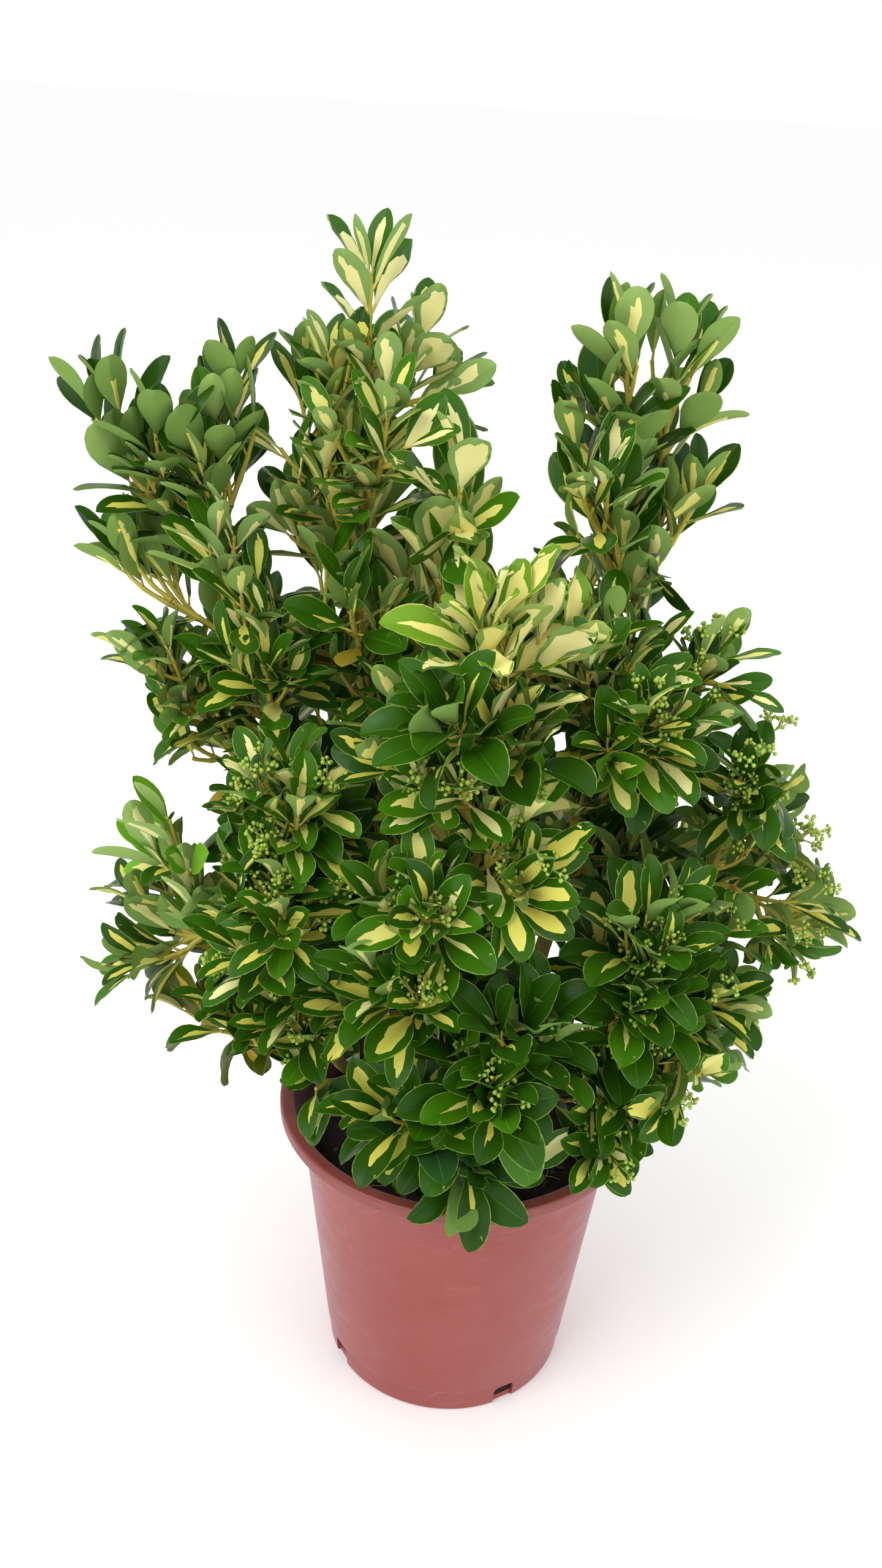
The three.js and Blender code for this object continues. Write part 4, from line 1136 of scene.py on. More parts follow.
def on_rim(edges, rows, teeth):
    """For each edge, whether it runs along the blade's rim."""
    rim = set()
    for side in (0, -1):
        line = [0, rows[0][side]]
        for row, tooth in zip(rows[1:], teeth):
            line += [tooth[side], row[side]]
        line.append(1)
        rim |= {tuple(sorted(pair)) for pair in zip(line, line[1:])}
    return [tuple(sorted(edge.vertices)) in rim for edge in edges]


def leaf_kind(level, shape):
    """One kind of leaf: a closed blade with its own underside, splash, finely toothed margin and stalk."""
    form = leaf_form(level, shape)
    ends = splash_ends(form, level, shape)
    reaches = (max(ends[:2]), max(ends[2:]))
    points, rows, under_rows, teeth = blade_points(form, level, shape)

    def upper_zones(row):
        at = (*LEAF_ROWS, 1)[row]
        if not level:
            return ("margin", "blade", "blade", "midrib", "blade", "blade", "margin")
        return ("margin", "blade", *("splash" if at <= end else "blade" for end in ends), "blade", "margin")

    def under_zones(row):
        at = (*LEAF_ROWS, 1)[row]
        splashed = ("under_splash" if at <= end else "under" for end in reaches)
        return ("under", *(splashed if level else ()), "under")

    faces, zones = strips(rows, upper_zones, teeth, False)
    below, below_zones = strips(under_rows, under_zones, teeth, True)
    stalk = add_stalk(points, leaf_point(form, 0, STALK_END))
    zones += [*below_zones, *["stalk"] * len(stalk)]
    mesh = mesh_of(f"leaf_{level}_{shape}", points, [*faces, *below, *stalk], unit=1)
    mesh.shade_smooth()
    set_attribute(mesh, "zone", "INT", "FACE", [ZONES.index(zone) for zone in zones])
    set_attribute(mesh, "sharp_edge", "BOOLEAN", "EDGE", on_rim(mesh.edges, rows, teeth))
    return mesh


def leaf_kinds():
    """Every kind of leaf, in a collection of its own that isn't in the scene."""
    kinds = bpy.data.collections.new("leaf_kinds")
    for level in range(len(SPLASH_WIDTH)):
        for shape in range(SHAPES_PER_LEVEL):
            kind = bpy.data.objects.new(f"kind_{level}_{shape}", leaf_kind(level, shape))
            kinds.objects.link(kind)
    return kinds


def leaf_tree():
    """Leaves on points: picks a kind, turns and sizes it, and paints each zone by its spray's colouring."""
    tree, group = new_tree("leaf_sprays", {
        "Leaf Kinds": ("Collection", None), "Leaf Length": ("Float", LEAF_LENGTH * MM)})
    kinds = add(tree, "GeometryNodeCollectionInfo", {
        "Collection": out(group, "Leaf Kinds"), "Separate Children": True, "Reset Children": True})
    carried = {name: add(tree, "GeometryNodeInputNamedAttribute", {"Name": name}, data_type=kind)
               for name, kind in (*LEAF_FIELDS.items(), ("zone", "INT"))}
    scale = add(tree, "ShaderNodeMath", {0: carried["size"], 1: out(group, "Leaf Length")},
                operation="MULTIPLY")
    sprays = add(tree, "GeometryNodeInstanceOnPoints", {
        "Points": group, "Instance": kinds, "Pick Instance": True,
        "Instance Index": carried["kind"], "Rotation": carried["turn"], "Scale": scale})
    tests = {label: add(tree, "FunctionNodeCompare", {"A": carried[name], "B": number},
                        data_type="INT", operation="EQUAL")
             for name, labels in (("colouring", COLOURINGS), ("zone", ZONES))
             for number, label in enumerate(labels)}
    layers = []
    for colouring, zone in product(COLOURINGS, ZONES):
        both = add(tree, "FunctionNodeBooleanMath", {0: tests[colouring], 1: tests[zone]})
        layers.append((leaf_finish(colouring, zone), both))
    return end_tree(tree, sprays, layers)


def skin_tree(name, skin, scar=None):
    """A round skin along edge paths, as thick as their points say, with relief across its surface."""
    tree, group = new_tree(name, {
        "Sides": ("Int", 8), "Relief": ("Float", 0.0), "Grain": ("Float", 0.004), "Stretch": ("Float", 1.0)})
    paths = add(tree, "GeometryNodeMeshToCurve", {"Mesh": group})
    ring = add(tree, "GeometryNodeCurvePrimitiveCircle", {"Resolution": out(group, "Sides"), "Radius": 1.0})
    thick = add(tree, "GeometryNodeInputNamedAttribute", {"Name": "thickness"}, data_type="FLOAT")
    tube = add(tree, "GeometryNodeCurveToMesh", {
        "Curve": paths, "Profile Curve": ring, "Scale": thick, "Fill Caps": True})
    # Relief: noise round zero with patches as long as the grain, drawn out along the limb
    stretch = add(tree, "ShaderNodeCombineXYZ", {"X": 1.0, "Y": 1.0, "Z": out(group, "Stretch")})
    place = add(tree, "ShaderNodeVectorMath", {0: add(tree, "GeometryNodeInputPosition"), 1: stretch},
                operation="MULTIPLY")
    per_metre = add(tree, "ShaderNodeMath", {0: 1, 1: out(group, "Grain")}, operation="DIVIDE")
    grain = add(tree, "ShaderNodeTexNoise", {"Vector": place, "Scale": per_metre, "Detail": 2.0})
    centred = add(tree, "ShaderNodeMath", {0: grain, 1: 0.5}, operation="SUBTRACT")
    height = add(tree, "ShaderNodeMath", {0: centred, 1: out(group, "Relief")}, operation="MULTIPLY")
    offset = add(tree, "ShaderNodeVectorMath", {0: add(tree, "GeometryNodeInputNormal"), "Scale": height},
                 operation="SCALE")
    shaped = add(tree, "GeometryNodeSetPosition", {"Geometry": tube, "Offset": offset})
    smooth = add(tree, "GeometryNodeSetShadeSmooth", {"Geometry": shaped})
    layers = [(skin, True)]
    if scar:
        mark = add(tree, "GeometryNodeInputNamedAttribute", {"Name": "scar"}, data_type="FLOAT")
        marked = add(tree, "FunctionNodeCompare", {"A": mark, "B": 0.5}, operation="GREATER_THAN")
        layers.append((scar, marked))
    return end_tree(tree, smooth, layers)


def path_mesh(name, paths, *fields):
    """An edge mesh of several paths, with values at their points: each path has points and its fields."""
    points, edges = [], []
    for path in paths:
        first = len(points)
        points += path["points"]
        edges += [(first + i, first + i + 1) for i in range(len(path["points"]) - 1)]
    mesh = mesh_of(name, points, edges=edges)
    for label in fields:
        set_attribute(mesh, label, "FLOAT", "POINT", [value for path in paths for value in path[label]])
    return mesh


def limb_path(course, radii, stem):
    """Points along a stem or bough, with its thickness and its age."""
    count = max(LIMB_POINTS, int(course.length / LIMB_STEP))
    shares = [i / count for i in range(count + 1)]
    points = [course.point(t) for t in shares]
    flare = [1 + (FLARE - 1) * max(0, 1 - t / FLARE_LENGTH) ** 2 if stem else 1 for t in shares]
    thickness = [within(radii, t) * wide * MM for t, wide in zip(shares, flare)]
    age = [min(1, max(0, BARK_AGE - (p.z - SOIL_TOP) / BARK_YOUNG_ABOVE)) for p in points]
    if stem:
        points[0] = points[0] - UP * STEM_SUNK
    return {"points": points, "thickness": thickness, "age": age}


def shoot_path(twig, name):
    """Points along a twig, swollen and scarred where its pairs of leaves stand or stood."""
    course = twig.course
    nodes = [course.length - down for down in pair_places(twig, name)]
    gap = PAIR_GAPS[habit(name)][-1]
    place = (nodes[-1] if nodes else course.length) - gap
    while place > LOWEST_SCAR:
        nodes.append(place)
        place -= gap
    marks = {max(0, node + side) for node in nodes for side in (-NODE_HALF, 0, NODE_HALF)}
    step = SHOOT_STEP[twig.lead]
    marks |= {i * step for i in range(int(course.length / step) + 1)}
    places = sorted(mark for mark in marks if mark < twig.reach) + [twig.reach]
    places = [p for p, after in zip(places, places[1:]) if after - p > CLOSEST_MARKS] + [twig.reach]
    radii = (LEAD_RADIUS if twig.lead else TWIG_RADIUS, TWIG_END_RADIUS)
    points, thickness, scar = [], [], []
    for place in places:
        near = min((abs(place - node) for node in nodes), default=course.length)
        swelling = 1 + NODE_SWELLING * math.exp(-near * near / NODE_LENGTH)
        points.append(course.point(course.share(place)))
        thickness.append(within(radii, place / course.length) * swelling * MM)
        scar.append(1.0 if near < SCAR_HALF else 0.0)
    return {"points": points, "thickness": thickness, "scar": scar}


def bud_cluster(leaf):
    """A branching flower stalk out of a leaf's axil, with a bud at every end."""
    keys = (*leaf["keys"], leaf["pair"], leaf["side"])
    start = leaf["root"]
    lean = blend(*zip((leaf["along"], leaf["face"], UP), PEDUNCLE_WAY))
    tall = within(PEDUNCLE, chance(*keys, 41))
    fork = start + lean * tall
    paths = [((start, start + lean * (0.5 * tall) + UP * PEDUNCLE_BOW, fork), STALK_RADII[0])]
    buds = []
    rays = FEWEST_RAYS + int(EXTRA_RAYS * chance(*keys, 42))
    for i in range(rays):
        turn = 2 * math.pi * (i / rays + TURN_CHANCE * chance(*keys, i, 43))
        ray = blend(*zip((lean, swung(*sideways(lean), turn)), RAY_WAY))
        joint = fork + ray * within(RAY, chance(*keys, i, 44))
        paths.append(((fork, joint), STALK_RADII[1]))
        for k in range(BUDS_ON_RAY):
            angle = 2 * math.pi * (k / (BUDS_ON_RAY - 1) + TURN_CHANCE * chance(*keys, i, k, 45))
            way = ray
            if k < BUDS_ON_RAY - 1:
                way = blend(*zip((ray, swung(*sideways(ray), angle)), PEDICEL_WAY))
            tip = joint + way * within(PEDICEL, chance(*keys, i, k, 46))
            paths.append(((joint, tip), STALK_RADII[2]))
            buds.append((tip, within(BUD_VARIES, chance(*keys, i, k, 47))))
    return paths, buds


def bud_kind():
    """A closed bud of radius 1: a lobed globe on a flatter base."""
    points = [(0, 0, -1), (0, 0, 1)]
    for height, radius in BUD_RINGS:
        for k, (x, y) in enumerate(circle(1, BUD_SIDES)):
            lobe = radius * (1 + BUD_LOBE * (k % 2))
            points.append((lobe * x, lobe * y, height))
    mesh = mesh_of("bud_kind", points, closed_rings(len(BUD_RINGS), BUD_SIDES), unit=1)
    mesh.shade_smooth()
    return mesh


def bud_tree():
    """A bud on every point, sized by its value."""
    tree, group = new_tree("buds", {"Bud": ("Object", None), "Bud Size": ("Float", BUD_SIZE * MM)})
    kind = add(tree, "GeometryNodeObjectInfo", {"Object": out(group, "Bud"), "As Instance": True})
    own = add(tree, "GeometryNodeInputNamedAttribute", {"Name": "size"}, data_type="FLOAT")
    size = add(tree, "ShaderNodeMath", {0: own, 1: out(group, "Bud Size")}, operation="MULTIPLY")
    half = add(tree, "ShaderNodeMath", {0: size, 1: 0.5}, operation="MULTIPLY")
    placed = add(tree, "GeometryNodeInstanceOnPoints", {
        "Points": group, "Instance": out(kind, "Geometry"), "Scale": half})
    return end_tree(tree, placed, [(bud_finish(), True)])


def masses_of(area):
    """The masses whose names start with an area."""
    return [name for name in MASSES if name.split("_")[0] == area]


def colour_property(name, description, value):
    """A colour setting that starts from a linear colour."""
    return FloatVectorProperty(name=name, description=description, default=value, subtype="COLOR", size=3)


class PlantSettings(bpy.types.PropertyGroup):
    """Sizes of the plant's parts."""

    leaf_length: FloatProperty(name="Leaf length", description="Length of a full-grown blade",
                               default=LEAF_LENGTH * MM, unit="LENGTH")
    bark_relief: FloatProperty(name="Bark relief", description="Depth of the bark's fissures",
                               default=0.0012, unit="LENGTH")
    bud_size: FloatProperty(name="Bud size", description="Width of a closed flower bud",
                            default=BUD_SIZE * MM, unit="LENGTH")
    limb_sides: IntProperty(name="Limb sides", description="Sides of a stem's section", default=18)


class PotSettings(bpy.types.PropertyGroup):
    """Colours of the pot and of what fills it."""

    wall_colour: colour_property("Wall", "Terracotta-coloured plastic", linear("92352b"))
    rim_colour: colour_property("Rim", "Darker rim and lip", linear("84332c"))
    # The inside's dark maroon is painted shade: the wall's plastic as it looks in the shade of the rim and
    # the plant
    inside_colour: colour_property("Inside", "Shaded inner wall", linear("4a1a1c"))
    compost_colour: colour_property("Compost", "Damp peat compost", linear("1f1512"))


class StageSettings(bpy.types.PropertyGroup):
    """Light and floor."""

    sky: FloatProperty(name="Sky", description="Strength of the light all round", default=1.0)
    key_power: FloatProperty(name="Key light", description="Power of the large soft light",
                             default=33, unit="POWER")
    floor_colour: colour_property("Floor", "Pale floor", (0.985, 0.985, 0.985))


def camera_turn():
    """The camera's turn, from its yaw, pitch and roll."""
    yaw, pitch, roll = (math.radians(v) for v in (CAMERA_YAW, CAMERA_PITCH, CAMERA_ROLL))
    forward = Vector((math.sin(yaw) * math.cos(pitch), math.cos(yaw) * math.cos(pitch), -math.sin(pitch)))
    right = Vector((math.cos(yaw), -math.sin(yaw), 0))
    up = right.cross(forward)
    rolled = right * math.cos(roll) + up * math.sin(roll)
    upright = up * math.cos(roll) - right * math.sin(roll)
    return Matrix((rolled, upright, -forward)).transposed()


class SPINDLE_OT_stage(bpy.types.Operator):
    """Sets the camera, the pale floor and the soft studio light"""

    bl_idname = "spindle.set_stage"
    bl_label = "Set the Stage"

    def execute(self, context):
        settings = context.scene.spindle_stage
        scene = context.scene
        scene.view_settings.view_transform = "Standard"
        lens = bpy.data.cameras.new("camera")
        lens.lens = CAMERA_LENS
        lens.sensor_width = CAMERA_SENSOR
        camera = bpy.data.objects.new("camera", lens)
        camera.matrix_world = Matrix.Translation(CAMERA_PLACE) @ camera_turn().to_4x4()
        scene.collection.objects.link(camera)
        scene.camera = camera
        sky = bpy.data.worlds.new("studio")
        sky.use_nodes = True
        shade = sky.node_tree.nodes["Background"]
        shade.inputs["Color"].default_value = (1, 1, 1, 1)
        shade.inputs["Strength"].default_value = settings.sky
        scene.world = sky
        corners = [(x * FLOOR_HALF, y * FLOOR_HALF, 0) for x, y in ((-1, -1), (1, -1), (1, 1), (-1, 1))]
        mesh = mesh_of("floor", corners, [(0, 1, 2, 3)], unit=1)
        paint = (*settings.floor_colour, 1)
        mesh.materials.append(new_finish("matt painted floor", base_color=paint, roughness=0.9)[0])
        floor = bpy.data.objects.new("floor", mesh)
        scene.collection.objects.link(floor)
        for name, (place, size, share) in LIGHTS.items():
            light = bpy.data.lights.new(name, "AREA")
            light.size = size
            light.energy = settings.key_power * share
            lamp = bpy.data.objects.new(name, light)
            aim = LIT_POINT - Vector(place)
            lamp.matrix_world = Matrix.Translation(place) @ aim.to_track_quat("-Z", "Y").to_matrix().to_4x4()
            scene.collection.objects.link(lamp)
        return {"FINISHED"}


def pot_finish(name, colour, roughness):
    """Injection-moulded polypropylene: satin, with a pale bloom where it turns away, and a few scratches."""
    finish, tree, shader = new_finish(name, roughness=roughness, ior=1.49, specular_ior_level=0.6,
                                      sheen_weight=0.24, sheen_roughness=0.3,
                                      sheen_tint="ecdcff")
    pale = [c + (1 - c) * MOTTLE_PALE for c in colour]
    dark = [c * MOTTLE_DARK for c in colour]
    mottled = two_tone(tree, patches(tree, 9, detail=4), (*dark, 1), (*pale, 1))
    # Scratches: thin pale lines half a millimetre wide, drawn where slow noise crosses its middle
    course = patches(tree, 9, detail=0, stretch=(1, 1, 2.6))
    away = add(tree, "ShaderNodeMath", {0: course, 1: 0.5}, operation="SUBTRACT")
    size = add(tree, "ShaderNodeMath", {0: away}, operation="ABSOLUTE")
    line = add(tree, "ShaderNodeMapRange", {"Value": size, "From Max": 0.003, "To Min": 1, "To Max": 0})
    here = add(tree, "ShaderNodeMapRange", {
        "Value": patches(tree, 34, detail=2), "From Min": 0.6, "From Max": 0.7, "To Max": 0.4})
    scratch = add(tree, "ShaderNodeMath", {0: line, 1: here}, operation="MULTIPLY")
    # Dust: soft pale patches 10 mm long that lie level
    dust = patches(tree, 60, detail=5, roughness=0.7, stretch=(0.5, 0.5, 1.6))
    dusty = two_tone(tree, dust, mottled, "d9a79c", {"From Min": 0.55, "From Max": 0.8, "To Max": 0.12})
    worn = add(tree, "ShaderNodeMix", {"Factor_Float": scratch, "A_Color": dusty, "B_Color": "e3b9a8"},
               data_type="RGBA")
    gloss = add(tree, "ShaderNodeMapRange", {
        "Value": dust, **PATCH_ENDS, "To Min": roughness - 0.04, "To Max": roughness + 0.16})
    moulding = add(tree, "ShaderNodeBump", {
        "Height": patches(tree, 900, detail=2), "Strength": 0.1, "Distance": 0.0003})
    fill(tree, shader, {"Base Color": worn, "Roughness": gloss, "Normal": moulding})
    return finish


def rounded(profile, radius, steps=4):
    """A section's corners, rounded off; points may carry the zone of the wall that follows them."""
    smooth = [profile[0]]
    for before, corner, after in zip(profile, profile[1:], profile[2:]):
        a, b, c = (np.array(p[:2], float) for p in (before, corner, after))
        near, far = np.linalg.norm(a - b), np.linalg.norm(c - b)
        cut = min(radius, near * CORNER_SHARE, far * CORNER_SHARE)
        start, end = b + (a - b) / near * cut, b + (c - b) / far * cut
        for k in range(steps + 1):
            u = k / steps
            point = start * (1 - u) ** 2 + b * 2 * u * (1 - u) + end * u * u
            smooth.append((point[0], point[1], corner[2] if u > 0.5 else before[2]))
    return smooth + [profile[-1]]


def pot_section():
    """The pot's section, from the middle of its underside out, up, over the rim and back inside."""
    shoulder = POT_HEIGHT - SHOULDER_DROP
    skirt = POT_HEIGHT - RIM_DEPTH
    ring = within((FOOT_RADIUS, SHOULDER_RADIUS), FOOT_RING_HEIGHT / shoulder)
    inner = FOOT_RADIUS - WALL
    return [
        (0, 0, 0), (FOOT_RADIUS, 0, 0), (ring - FOOT_RING_STEP / 2, FOOT_RING_HEIGHT, 0),
        (ring + FOOT_RING_STEP / 2, FOOT_RING_HEIGHT + FOOT_RING_STEP, 0),
        (SHOULDER_RADIUS, shoulder, 0), (SHOULDER_RADIUS + COLLAR_STEP, shoulder + COLLAR_STEP, 0),
        (COLLAR_RADIUS, skirt - RIM_UNDERSIDE, 0), (RIM_RADIUS - RIM_OVERHANG, skirt, 1),
        (RIM_RADIUS, skirt + RIM_BEVEL, 1), (RIM_RADIUS, POT_HEIGHT, 1), (MOUTH_RADIUS, POT_HEIGHT, 2),
        (COLLAR_RADIUS - WALL, skirt - RIM_UNDERSIDE, 2), (COLLAR_BORE, shoulder, 2), (inner, FLOOR, 2),
        (0, FLOOR, 2),
    ]


def turned_mesh(name, section, segments):
    """A closed turned mesh of a section whose ends are on the axis; face slots follow the section."""
    points = [(0, 0, section[0][1]), (0, 0, section[-1][1])]
    points += [(x, y, z) for r, z, _ in section[1:-1] for x, y in circle(r, segments)]
    mesh = mesh_of(name, points, closed_rings(len(section) - 2, segments))
    mesh.polygons.foreach_set("material_index", [zone for *_, zone in section[:-1]] * segments)
    mesh.shade_smooth()
    return mesh


def drain_mesh():
    """The cutters of the notches at the pot's foot: upright arches, each as deep as the notch."""
    half = DRAIN_WIDTH / 2
    right = [(half, DRAIN_HEIGHT - DRAIN_ROUND), (half - DRAIN_CORNER, DRAIN_HEIGHT - DRAIN_CORNER),
             (half - DRAIN_ROUND, DRAIN_HEIGHT)]
    arch = [(-half, -DRAIN_HEIGHT), (half, -DRAIN_HEIGHT), *right, *((-x, z) for x, z in reversed(right))]
    count = len(arch)
    corners, faces = [], []
    for i in range(DRAIN_COUNT):
        turn = Matrix.Rotation(math.radians(DRAIN_TURN + 360 / DRAIN_COUNT * i), 3, "Z")
        first = len(corners)
        for depth in (-DRAIN_DEPTH / 2, DRAIN_DEPTH / 2):
            corners += [turn @ Vector((FOOT_RADIUS + DRAIN_OUT + depth, y, z)) for y, z in arch]
        faces.append(tuple(first + k for k in reversed(range(count))))
        faces.append(tuple(first + count + k for k in range(count)))
        for k in range(count):
            after = (k + 1) % count
            faces.append((first + k, first + after, first + count + after, first + count + k))
    return mesh_of("drain_cutter", corners, faces)


class SPINDLE_OT_pot(bpy.types.Operator):
    """Makes the moulded pot with its rim, collar, foot ring and drain notches"""

    bl_idname = "spindle.make_pot"
    bl_label = "Make the Pot"

    def execute(self, context):
        settings = context.scene.spindle_pot
        mesh = turned_mesh("pot_shell", rounded(pot_section(), POT_ROUNDING), POT_SEGMENTS)
        for name, colour, roughness in (
            ("moulded polypropylene wall", settings.wall_colour, 0.36),
            ("moulded polypropylene rim", settings.rim_colour, 0.38),
            # The inside takes the darker inside colour, which is painted shade rather than a colour of the
            # plastic
            ("moulded polypropylene inside", settings.inside_colour, 0.55),
        ):
            mesh.materials.append(pot_finish(name, colour, roughness))
        shell, cutter = (bpy.data.objects.new(part.name, part) for part in (mesh, drain_mesh()))
        for part in (shell, cutter):
            context.scene.collection.objects.link(part)
        cut = shell.modifiers.new("drain", "BOOLEAN")
        cut.operation = "DIFFERENCE"
        cut.solver = "EXACT"
        cut.object = cutter
        graph = context.evaluated_depsgraph_get()
        whole = bpy.data.meshes.new_from_object(shell.evaluated_get(graph), depsgraph=graph)
        shell.modifiers.remove(cut)
        for part in (shell, cutter):
            bpy.data.objects.remove(part)
        whole.set_sharp_from_angle(angle=math.radians(SHARP_ANGLE))
        place_piece("pot_shell", whole, ["pot"])
        return {"FINISHED"}


def compost_finish(colour):
    """Damp peat and bark compost: almost black, crumbly, with brown fibres."""
    finish, tree, shader = new_finish("damp peat compost", roughness=0.9, ior=1.4)
    crumbs = patches(tree, 260, detail=6, roughness=0.7)
    dark = [c * CRUMB_DARK for c in colour]
    peat = two_tone(tree, crumbs, (*dark, 1), (*colour, 1))
    fibrous = two_tone(tree, patches(tree, 90), peat, "4a2f22",
                       {"From Min": 0.5, "From Max": 0.8, "To Max": 0.5})
    relief = add(tree, "ShaderNodeBump", {"Height": crumbs, "Strength": 0.9, "Distance": 0.002})
    fill(tree, shader, {"Base Color": fibrous, "Normal": relief})
    return finish


def chip_finish():
    """Bark chip: dry, fibrous, mid brown."""
    finish, tree, shader = new_finish("dry bark chip", roughness=0.85, ior=1.45)
    grain = patches(tree, 400, detail=4)
    relief = add(tree, "ShaderNodeBump", {"Height": grain, "Strength": 0.5, "Distance": 0.0006})
    fill(tree, shader, {"Base Color": two_tone(tree, grain, "3a2820", "5c4232"), "Normal": relief})
    return finish


def chip_tree():
    """Bark chips scattered over a surface, each turned and sized by chance."""
    tree, group = new_tree("bark_chips", {
        "Chip Size": ("Float", CHIP_SIZE * MM), "Chips Per Square Metre": ("Float", 3200.0),
        "Seed": ("Int", 4)})
    spots = add(tree, "GeometryNodeDistributePointsOnFaces", {
        "Mesh": group, "Density": out(group, "Chips Per Square Metre"), "Seed": out(group, "Seed")})
    flake = add(tree, "GeometryNodeMeshIcoSphere", {"Radius": 0.5, "Subdivisions": 1})
    turn, size = (add(tree, "FunctionNodeRandomValue", {"Min": low, "Max": high, "Seed": seed},
                      data_type="FLOAT_VECTOR") for low, high, seed in (CHIP_TURNS, CHIP_SIZES))
    scale = add(tree, "ShaderNodeVectorMath", {0: size, "Scale": out(group, "Chip Size")}, operation="SCALE")
    placed = add(tree, "GeometryNodeInstanceOnPoints", {
        "Points": spots, "Instance": flake, "Scale": scale,
        "Rotation": add(tree, "FunctionNodeEulerToRotation", {"Euler": turn})})
    return end_tree(tree, placed, [(chip_finish(), True)])


def soil_height(x, y):
    """The compost's surface: low mounds and crumbs, lower at the pot's wall."""
    (high, a, b, ahead), (low, c, d) = SOIL_MOUNDS
    mounds = high * math.sin(x * a + ahead) * math.cos(y * b) + low * math.sin(x * c + y * d)
    crumbs = SOIL_CRUMB * (chance(int(x * 1000) & WORD, int(y * 1000) & WORD, 51) - 0.5)
    edge = max(0, math.hypot(x, y) - SOIL_EDGE) * SOIL_EDGE_SLOPE
    return SOIL_TOP - SOIL_SUNK + mounds + crumbs - edge


def soil_mesh():
    """A closed plug of compost with a crumbly top, a little smaller than the pot's inside."""
    bore = (FOOT_RADIUS - WALL, COLLAR_BORE)

    def wall(z):
        return within(bore, (z - FLOOR) / (POT_HEIGHT - SHOULDER_DROP - FLOOR)) - SOIL_CLEARANCE

    foot, bevel, side = FLOOR + PLUG_FOOT, FLOOR + PLUG_BEVEL, SOIL_TOP - SOIL_SIDE_DROP
    rings = [(wall(FLOOR) - SOIL_CLEARANCE, foot), (wall(bevel), bevel), (wall(side), side)]
    points = [(0, 0, foot), (0, 0, soil_height(0, 0))]
    points += [(x, y, z) for r, z in rings for x, y in circle(r, SOIL_SEGMENTS)]
    for i in range(1, SOIL_RINGS):
        ring = circle(wall(side) * (1 - i / SOIL_RINGS), SOIL_SEGMENTS, 0.5 * (i % 2))
        points += [(x, y, soil_height(x, y)) for x, y in ring]
    mesh = mesh_of("compost", points, closed_rings(len(rings) + SOIL_RINGS - 1, SOIL_SEGMENTS))
    mesh.shade_smooth()
    return mesh


def chip_bed():
    """The ring of the compost's surface that bark chips lie on."""
    points = [(x, y, soil_height(x, y) + CHIP_LIFT) for i in range(BED_RINGS)
              for x, y in circle(within(BED_RADII, i / (BED_RINGS - 1)), BED_SIDES)]
    faces = []
    for low in range(0, (BED_RINGS - 1) * BED_SIDES, BED_SIDES):
        for k in range(BED_SIDES):
            after = (k + 1) % BED_SIDES
            faces.append((low + k, low + BED_SIDES + k, low + BED_SIDES + after, low + after))
    return mesh_of("chip_bed", points, faces)


def root_path(i):
    """A fine root that wanders over the compost, by its number; it ends at the pot's wall."""
    reach, angle = within(ROOT_PLACES, chance(i, 62)), 2 * math.pi * chance(i, 61)
    x, y = reach * math.cos(angle), reach * math.sin(angle)
    heading = 2 * math.pi * chance(i, 63)
    points = []
    for step in range(ROOT_STEPS):
        if math.hypot(x, y) > BED_RADII[1]:
            break
        lift = ROOT_LIFT + ROOT_WAVE * math.sin(step * ROOT_WAVE_TURN + i)
        points.append((x, y, soil_height(round(x), round(y)) + lift))
        heading += ROOT_TURN * (chance(i, step, 64) - 0.5)
        x += ROOT_STEP * math.cos(heading)
        y += ROOT_STEP * math.sin(heading)
    return {"points": points, "thickness": [ROOT_RADIUS * MM] * len(points)}


class SPINDLE_OT_compost(bpy.types.Operator):
    """Fills the pot with compost, bark chips and fine pale roots"""

    bl_idname = "spindle.make_compost"
    bl_label = "Fill with Compost"

    def execute(self, context):
        settings = context.scene.spindle_pot
        plug = soil_mesh()
        plug.materials.append(compost_finish(settings.compost_colour))
        place_piece("compost", plug, ["soil"])
        place_piece("bark_chips", grown_mesh("bark_chips", chip_bed(), chip_tree()))
        paths = [path for path in map(root_path, range(ROOT_COUNT)) if len(path["points"]) > SHORTEST_ROOT]
        tree = skin_tree("surface_roots", grained_finish("fine pale root"))
        roots = grown_mesh("surface_roots", path_mesh("roots", paths, "thickness"), tree, Sides=5)
        place_piece("surface_roots", roots)
        return {"FINISHED"}


class SPINDLE_OT_wood(bpy.types.Operator):
    """Grows the stems and boughs, with bark relief"""

    bl_idname = "spindle.make_wood"
    bl_label = "Grow Stems and Boughs"

    def execute(self, context):
        settings = context.scene.spindle_plant
        tree = skin_tree("bark_skin", bark_finish())
        for name, rows in (("stems", STEMS), ("boughs", BOUGHS)):
            paths = [limb_path(*PLANT["limbs"][limb]) for limb in rows]
            carrier = path_mesh(name, paths, "thickness", "age")
            mesh = grown_mesh(name, carrier, tree, Sides=settings.limb_sides,
                              Relief=settings.bark_relief, Grain=0.0035, Stretch=0.25)
            place_piece(name, mesh, list(rows))
        return {"FINISHED"}


class SPINDLE_OT_shoots(bpy.types.Operator):
    """Grows the leads and side twigs of every mass"""

    bl_idname = "spindle.make_shoots"
    bl_label = "Grow Shoots"

    def execute(self, context):
        skins = (grained_finish(name) for name in ("young spindle shoot", "corky node scar"))
        tree = skin_tree("shoot_skin", *skins)
        for area in AREAS:
            names = masses_of(area)
            paths = [shoot_path(twig, name) for name in names for twig in PLANT["twigs"][name]]
            carrier = path_mesh(f"shoots_{area}", paths, "thickness", "scar")
            mesh = grown_mesh(f"shoots_{area}", carrier, tree, Sides=7, Relief=0.0003, Grain=0.002)
            place_piece(f"shoots_{area}", mesh, names)
        return {"FINISHED"}


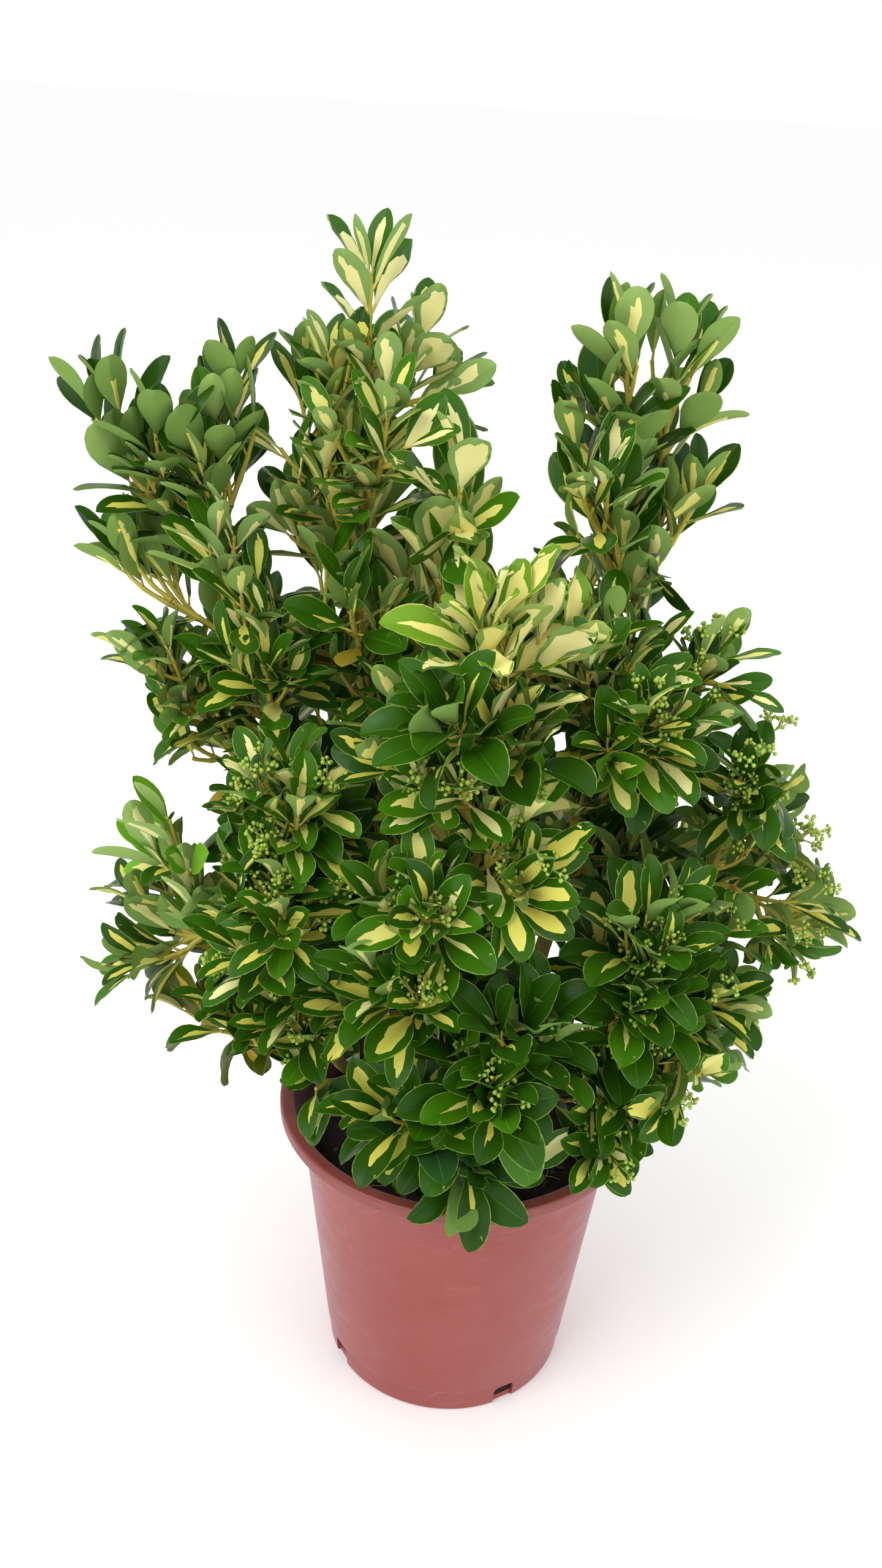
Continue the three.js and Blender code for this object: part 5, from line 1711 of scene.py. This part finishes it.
def leaf_record(leaf, name):
    """What a leaf's point carries: its place, then a value for each of LEAF_FIELDS."""
    tone = MASSES[name].tone
    keys = (*leaf["keys"], leaf["pair"], leaf["side"])
    draw, level = chance(*keys, 21), 0
    shares = SPLASH_SHARES[tone]
    while level < len(shares) - 1 and draw > sum(shares[:level + 1]):
        level += 1
    shape = int(chance(*keys, 22) * STRAIGHT_SHAPES)
    if habit(name) == "spreading" or leaf["pair"] > LAST_STRAIGHT_PAIR:
        shape = STRAIGHT_SHAPES + int(chance(*keys, 22) * (SHAPES_PER_LEVEL - STRAIGHT_SHAPES))
    colourings = TONE_COLOURINGS[tone]
    colouring = colourings[int(chance(*leaf["keys"], 23) * len(colourings))]
    if leaf["pair"] >= OLD_FROM and habit(name) != "upright" and chance(*keys, 24) < OLD_SHARE:
        colouring = "old"
    axes = Matrix((leaf["along"].cross(leaf["face"]), leaf["along"], leaf["face"])).transposed()
    return (leaf["root"], level * SHAPES_PER_LEVEL + shape, leaf["size"], tuple(axes.to_quaternion()),
            list(COLOURINGS).index(colouring))


class SPINDLE_OT_leaves(bpy.types.Operator):
    """Grows the gold-splashed leaves, in opposite pairs on every shoot"""

    bl_idname = "spindle.make_leaves"
    bl_label = "Grow Leaves"

    def execute(self, context):
        settings = context.scene.spindle_plant
        kinds = leaf_kinds()
        tree = leaf_tree()
        for area in AREAS:
            names = masses_of(area)
            rows = [leaf_record(leaf, name) for name in names for leaf in PLANT["leaves"][name]]
            places, *columns = zip(*rows)
            carrier = mesh_of(f"leaves_{area}", places)
            for (label, kind), values in zip(LEAF_FIELDS.items(), columns):
                set_attribute(carrier, label, kind, "POINT", values)
            mesh = grown_mesh(f"leaves_{area}", carrier, tree, **{
                "Leaf Kinds": kinds, "Leaf Length": settings.leaf_length})
            place_piece(f"leaves_{area}", mesh, names)
        for kind in list(kinds.objects):
            bpy.data.objects.remove(kind)
        bpy.data.collections.remove(kinds)
        return {"FINISHED"}


class SPINDLE_OT_buds(bpy.types.Operator):
    """Grows clusters of closed flower buds out of the leaf axils"""

    bl_idname = "spindle.make_buds"
    bl_label = "Grow Flower Buds"

    def execute(self, context):
        settings = context.scene.spindle_plant
        paths, buds = [], []
        for name, share in BUD_MASSES.items():
            for leaf in PLANT["leaves"][name]:
                outer = math.hypot(leaf["root"].x * BUD_NARROW, leaf["root"].y) > BUD_SHELL
                first = leaf["pair"] in BUD_PAIRS and leaf["side"] == 0
                if outer and first and chance(*leaf["keys"], leaf["pair"], 40) < share * BUD_SHARE:
                    stalks, ends = bud_cluster(leaf)
                    paths += stalks
                    buds += ends
        rows = [{"points": points, "thickness": [radius * MM] * len(points)} for points, radius in paths]
        stalks = grown_mesh("flower_stalks", path_mesh("stalk_paths", rows, "thickness"),
                            skin_tree("stalk_skin", grained_finish("flower stalk")), Sides=3)
        place_piece("flower_stalks", stalks)
        carrier = mesh_of("bud_points", [place for place, _ in buds])
        set_attribute(carrier, "size", "FLOAT", "POINT", [size for _, size in buds])
        kind = bpy.data.objects.new("bud_kind", bud_kind())
        mesh = grown_mesh("flower_buds", carrier, bud_tree(), **{
            "Bud": kind, "Bud Size": settings.bud_size})
        bpy.data.objects.remove(kind)
        place_piece("flower_buds", mesh)
        return {"FINISHED"}


OPERATORS = (SPINDLE_OT_stage, SPINDLE_OT_pot, SPINDLE_OT_compost, SPINDLE_OT_wood, SPINDLE_OT_shoots,
             SPINDLE_OT_leaves, SPINDLE_OT_buds)
SETTINGS = {"spindle_plant": PlantSettings, "spindle_pot": PotSettings, "spindle_stage": StageSettings}


class SPINDLE_PT_sidebar(bpy.types.Panel):
    """Lists the steps that make the plant"""

    bl_idname = "SPINDLE_PT_sidebar"
    bl_label = "Potted Spindle"
    bl_space_type = "VIEW_3D"
    bl_region_type = "UI"
    bl_category = "Spindle"

    def draw(self, context):
        for name in SETTINGS:
            settings = getattr(context.scene, name)
            box = self.layout.box()
            for key in settings.bl_rna.properties.keys():
                if key not in ("rna_type", "name"):
                    box.prop(settings, key)
        for operator in OPERATORS:
            self.layout.operator(operator.bl_idname)


def register():
    """Adds the settings, the operators and the panel."""
    for kind in (*SETTINGS.values(), *OPERATORS, SPINDLE_PT_sidebar):
        bpy.utils.register_class(kind)
    for name, kind in SETTINGS.items():
        setattr(bpy.types.Scene, name, PointerProperty(type=kind))


def unregister():
    """Takes out what register added, in reverse order."""
    for name in SETTINGS:
        delattr(bpy.types.Scene, name)
    for kind in reversed((*SETTINGS.values(), *OPERATORS, SPINDLE_PT_sidebar)):
        bpy.utils.unregister_class(kind)


def main():
    """Registers the add-on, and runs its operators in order."""
    register()
    for operator in OPERATORS:
        group, step = operator.bl_idname.split(".")
        getattr(getattr(bpy.ops, group), step)()


if __name__ == "__main__":
    main()
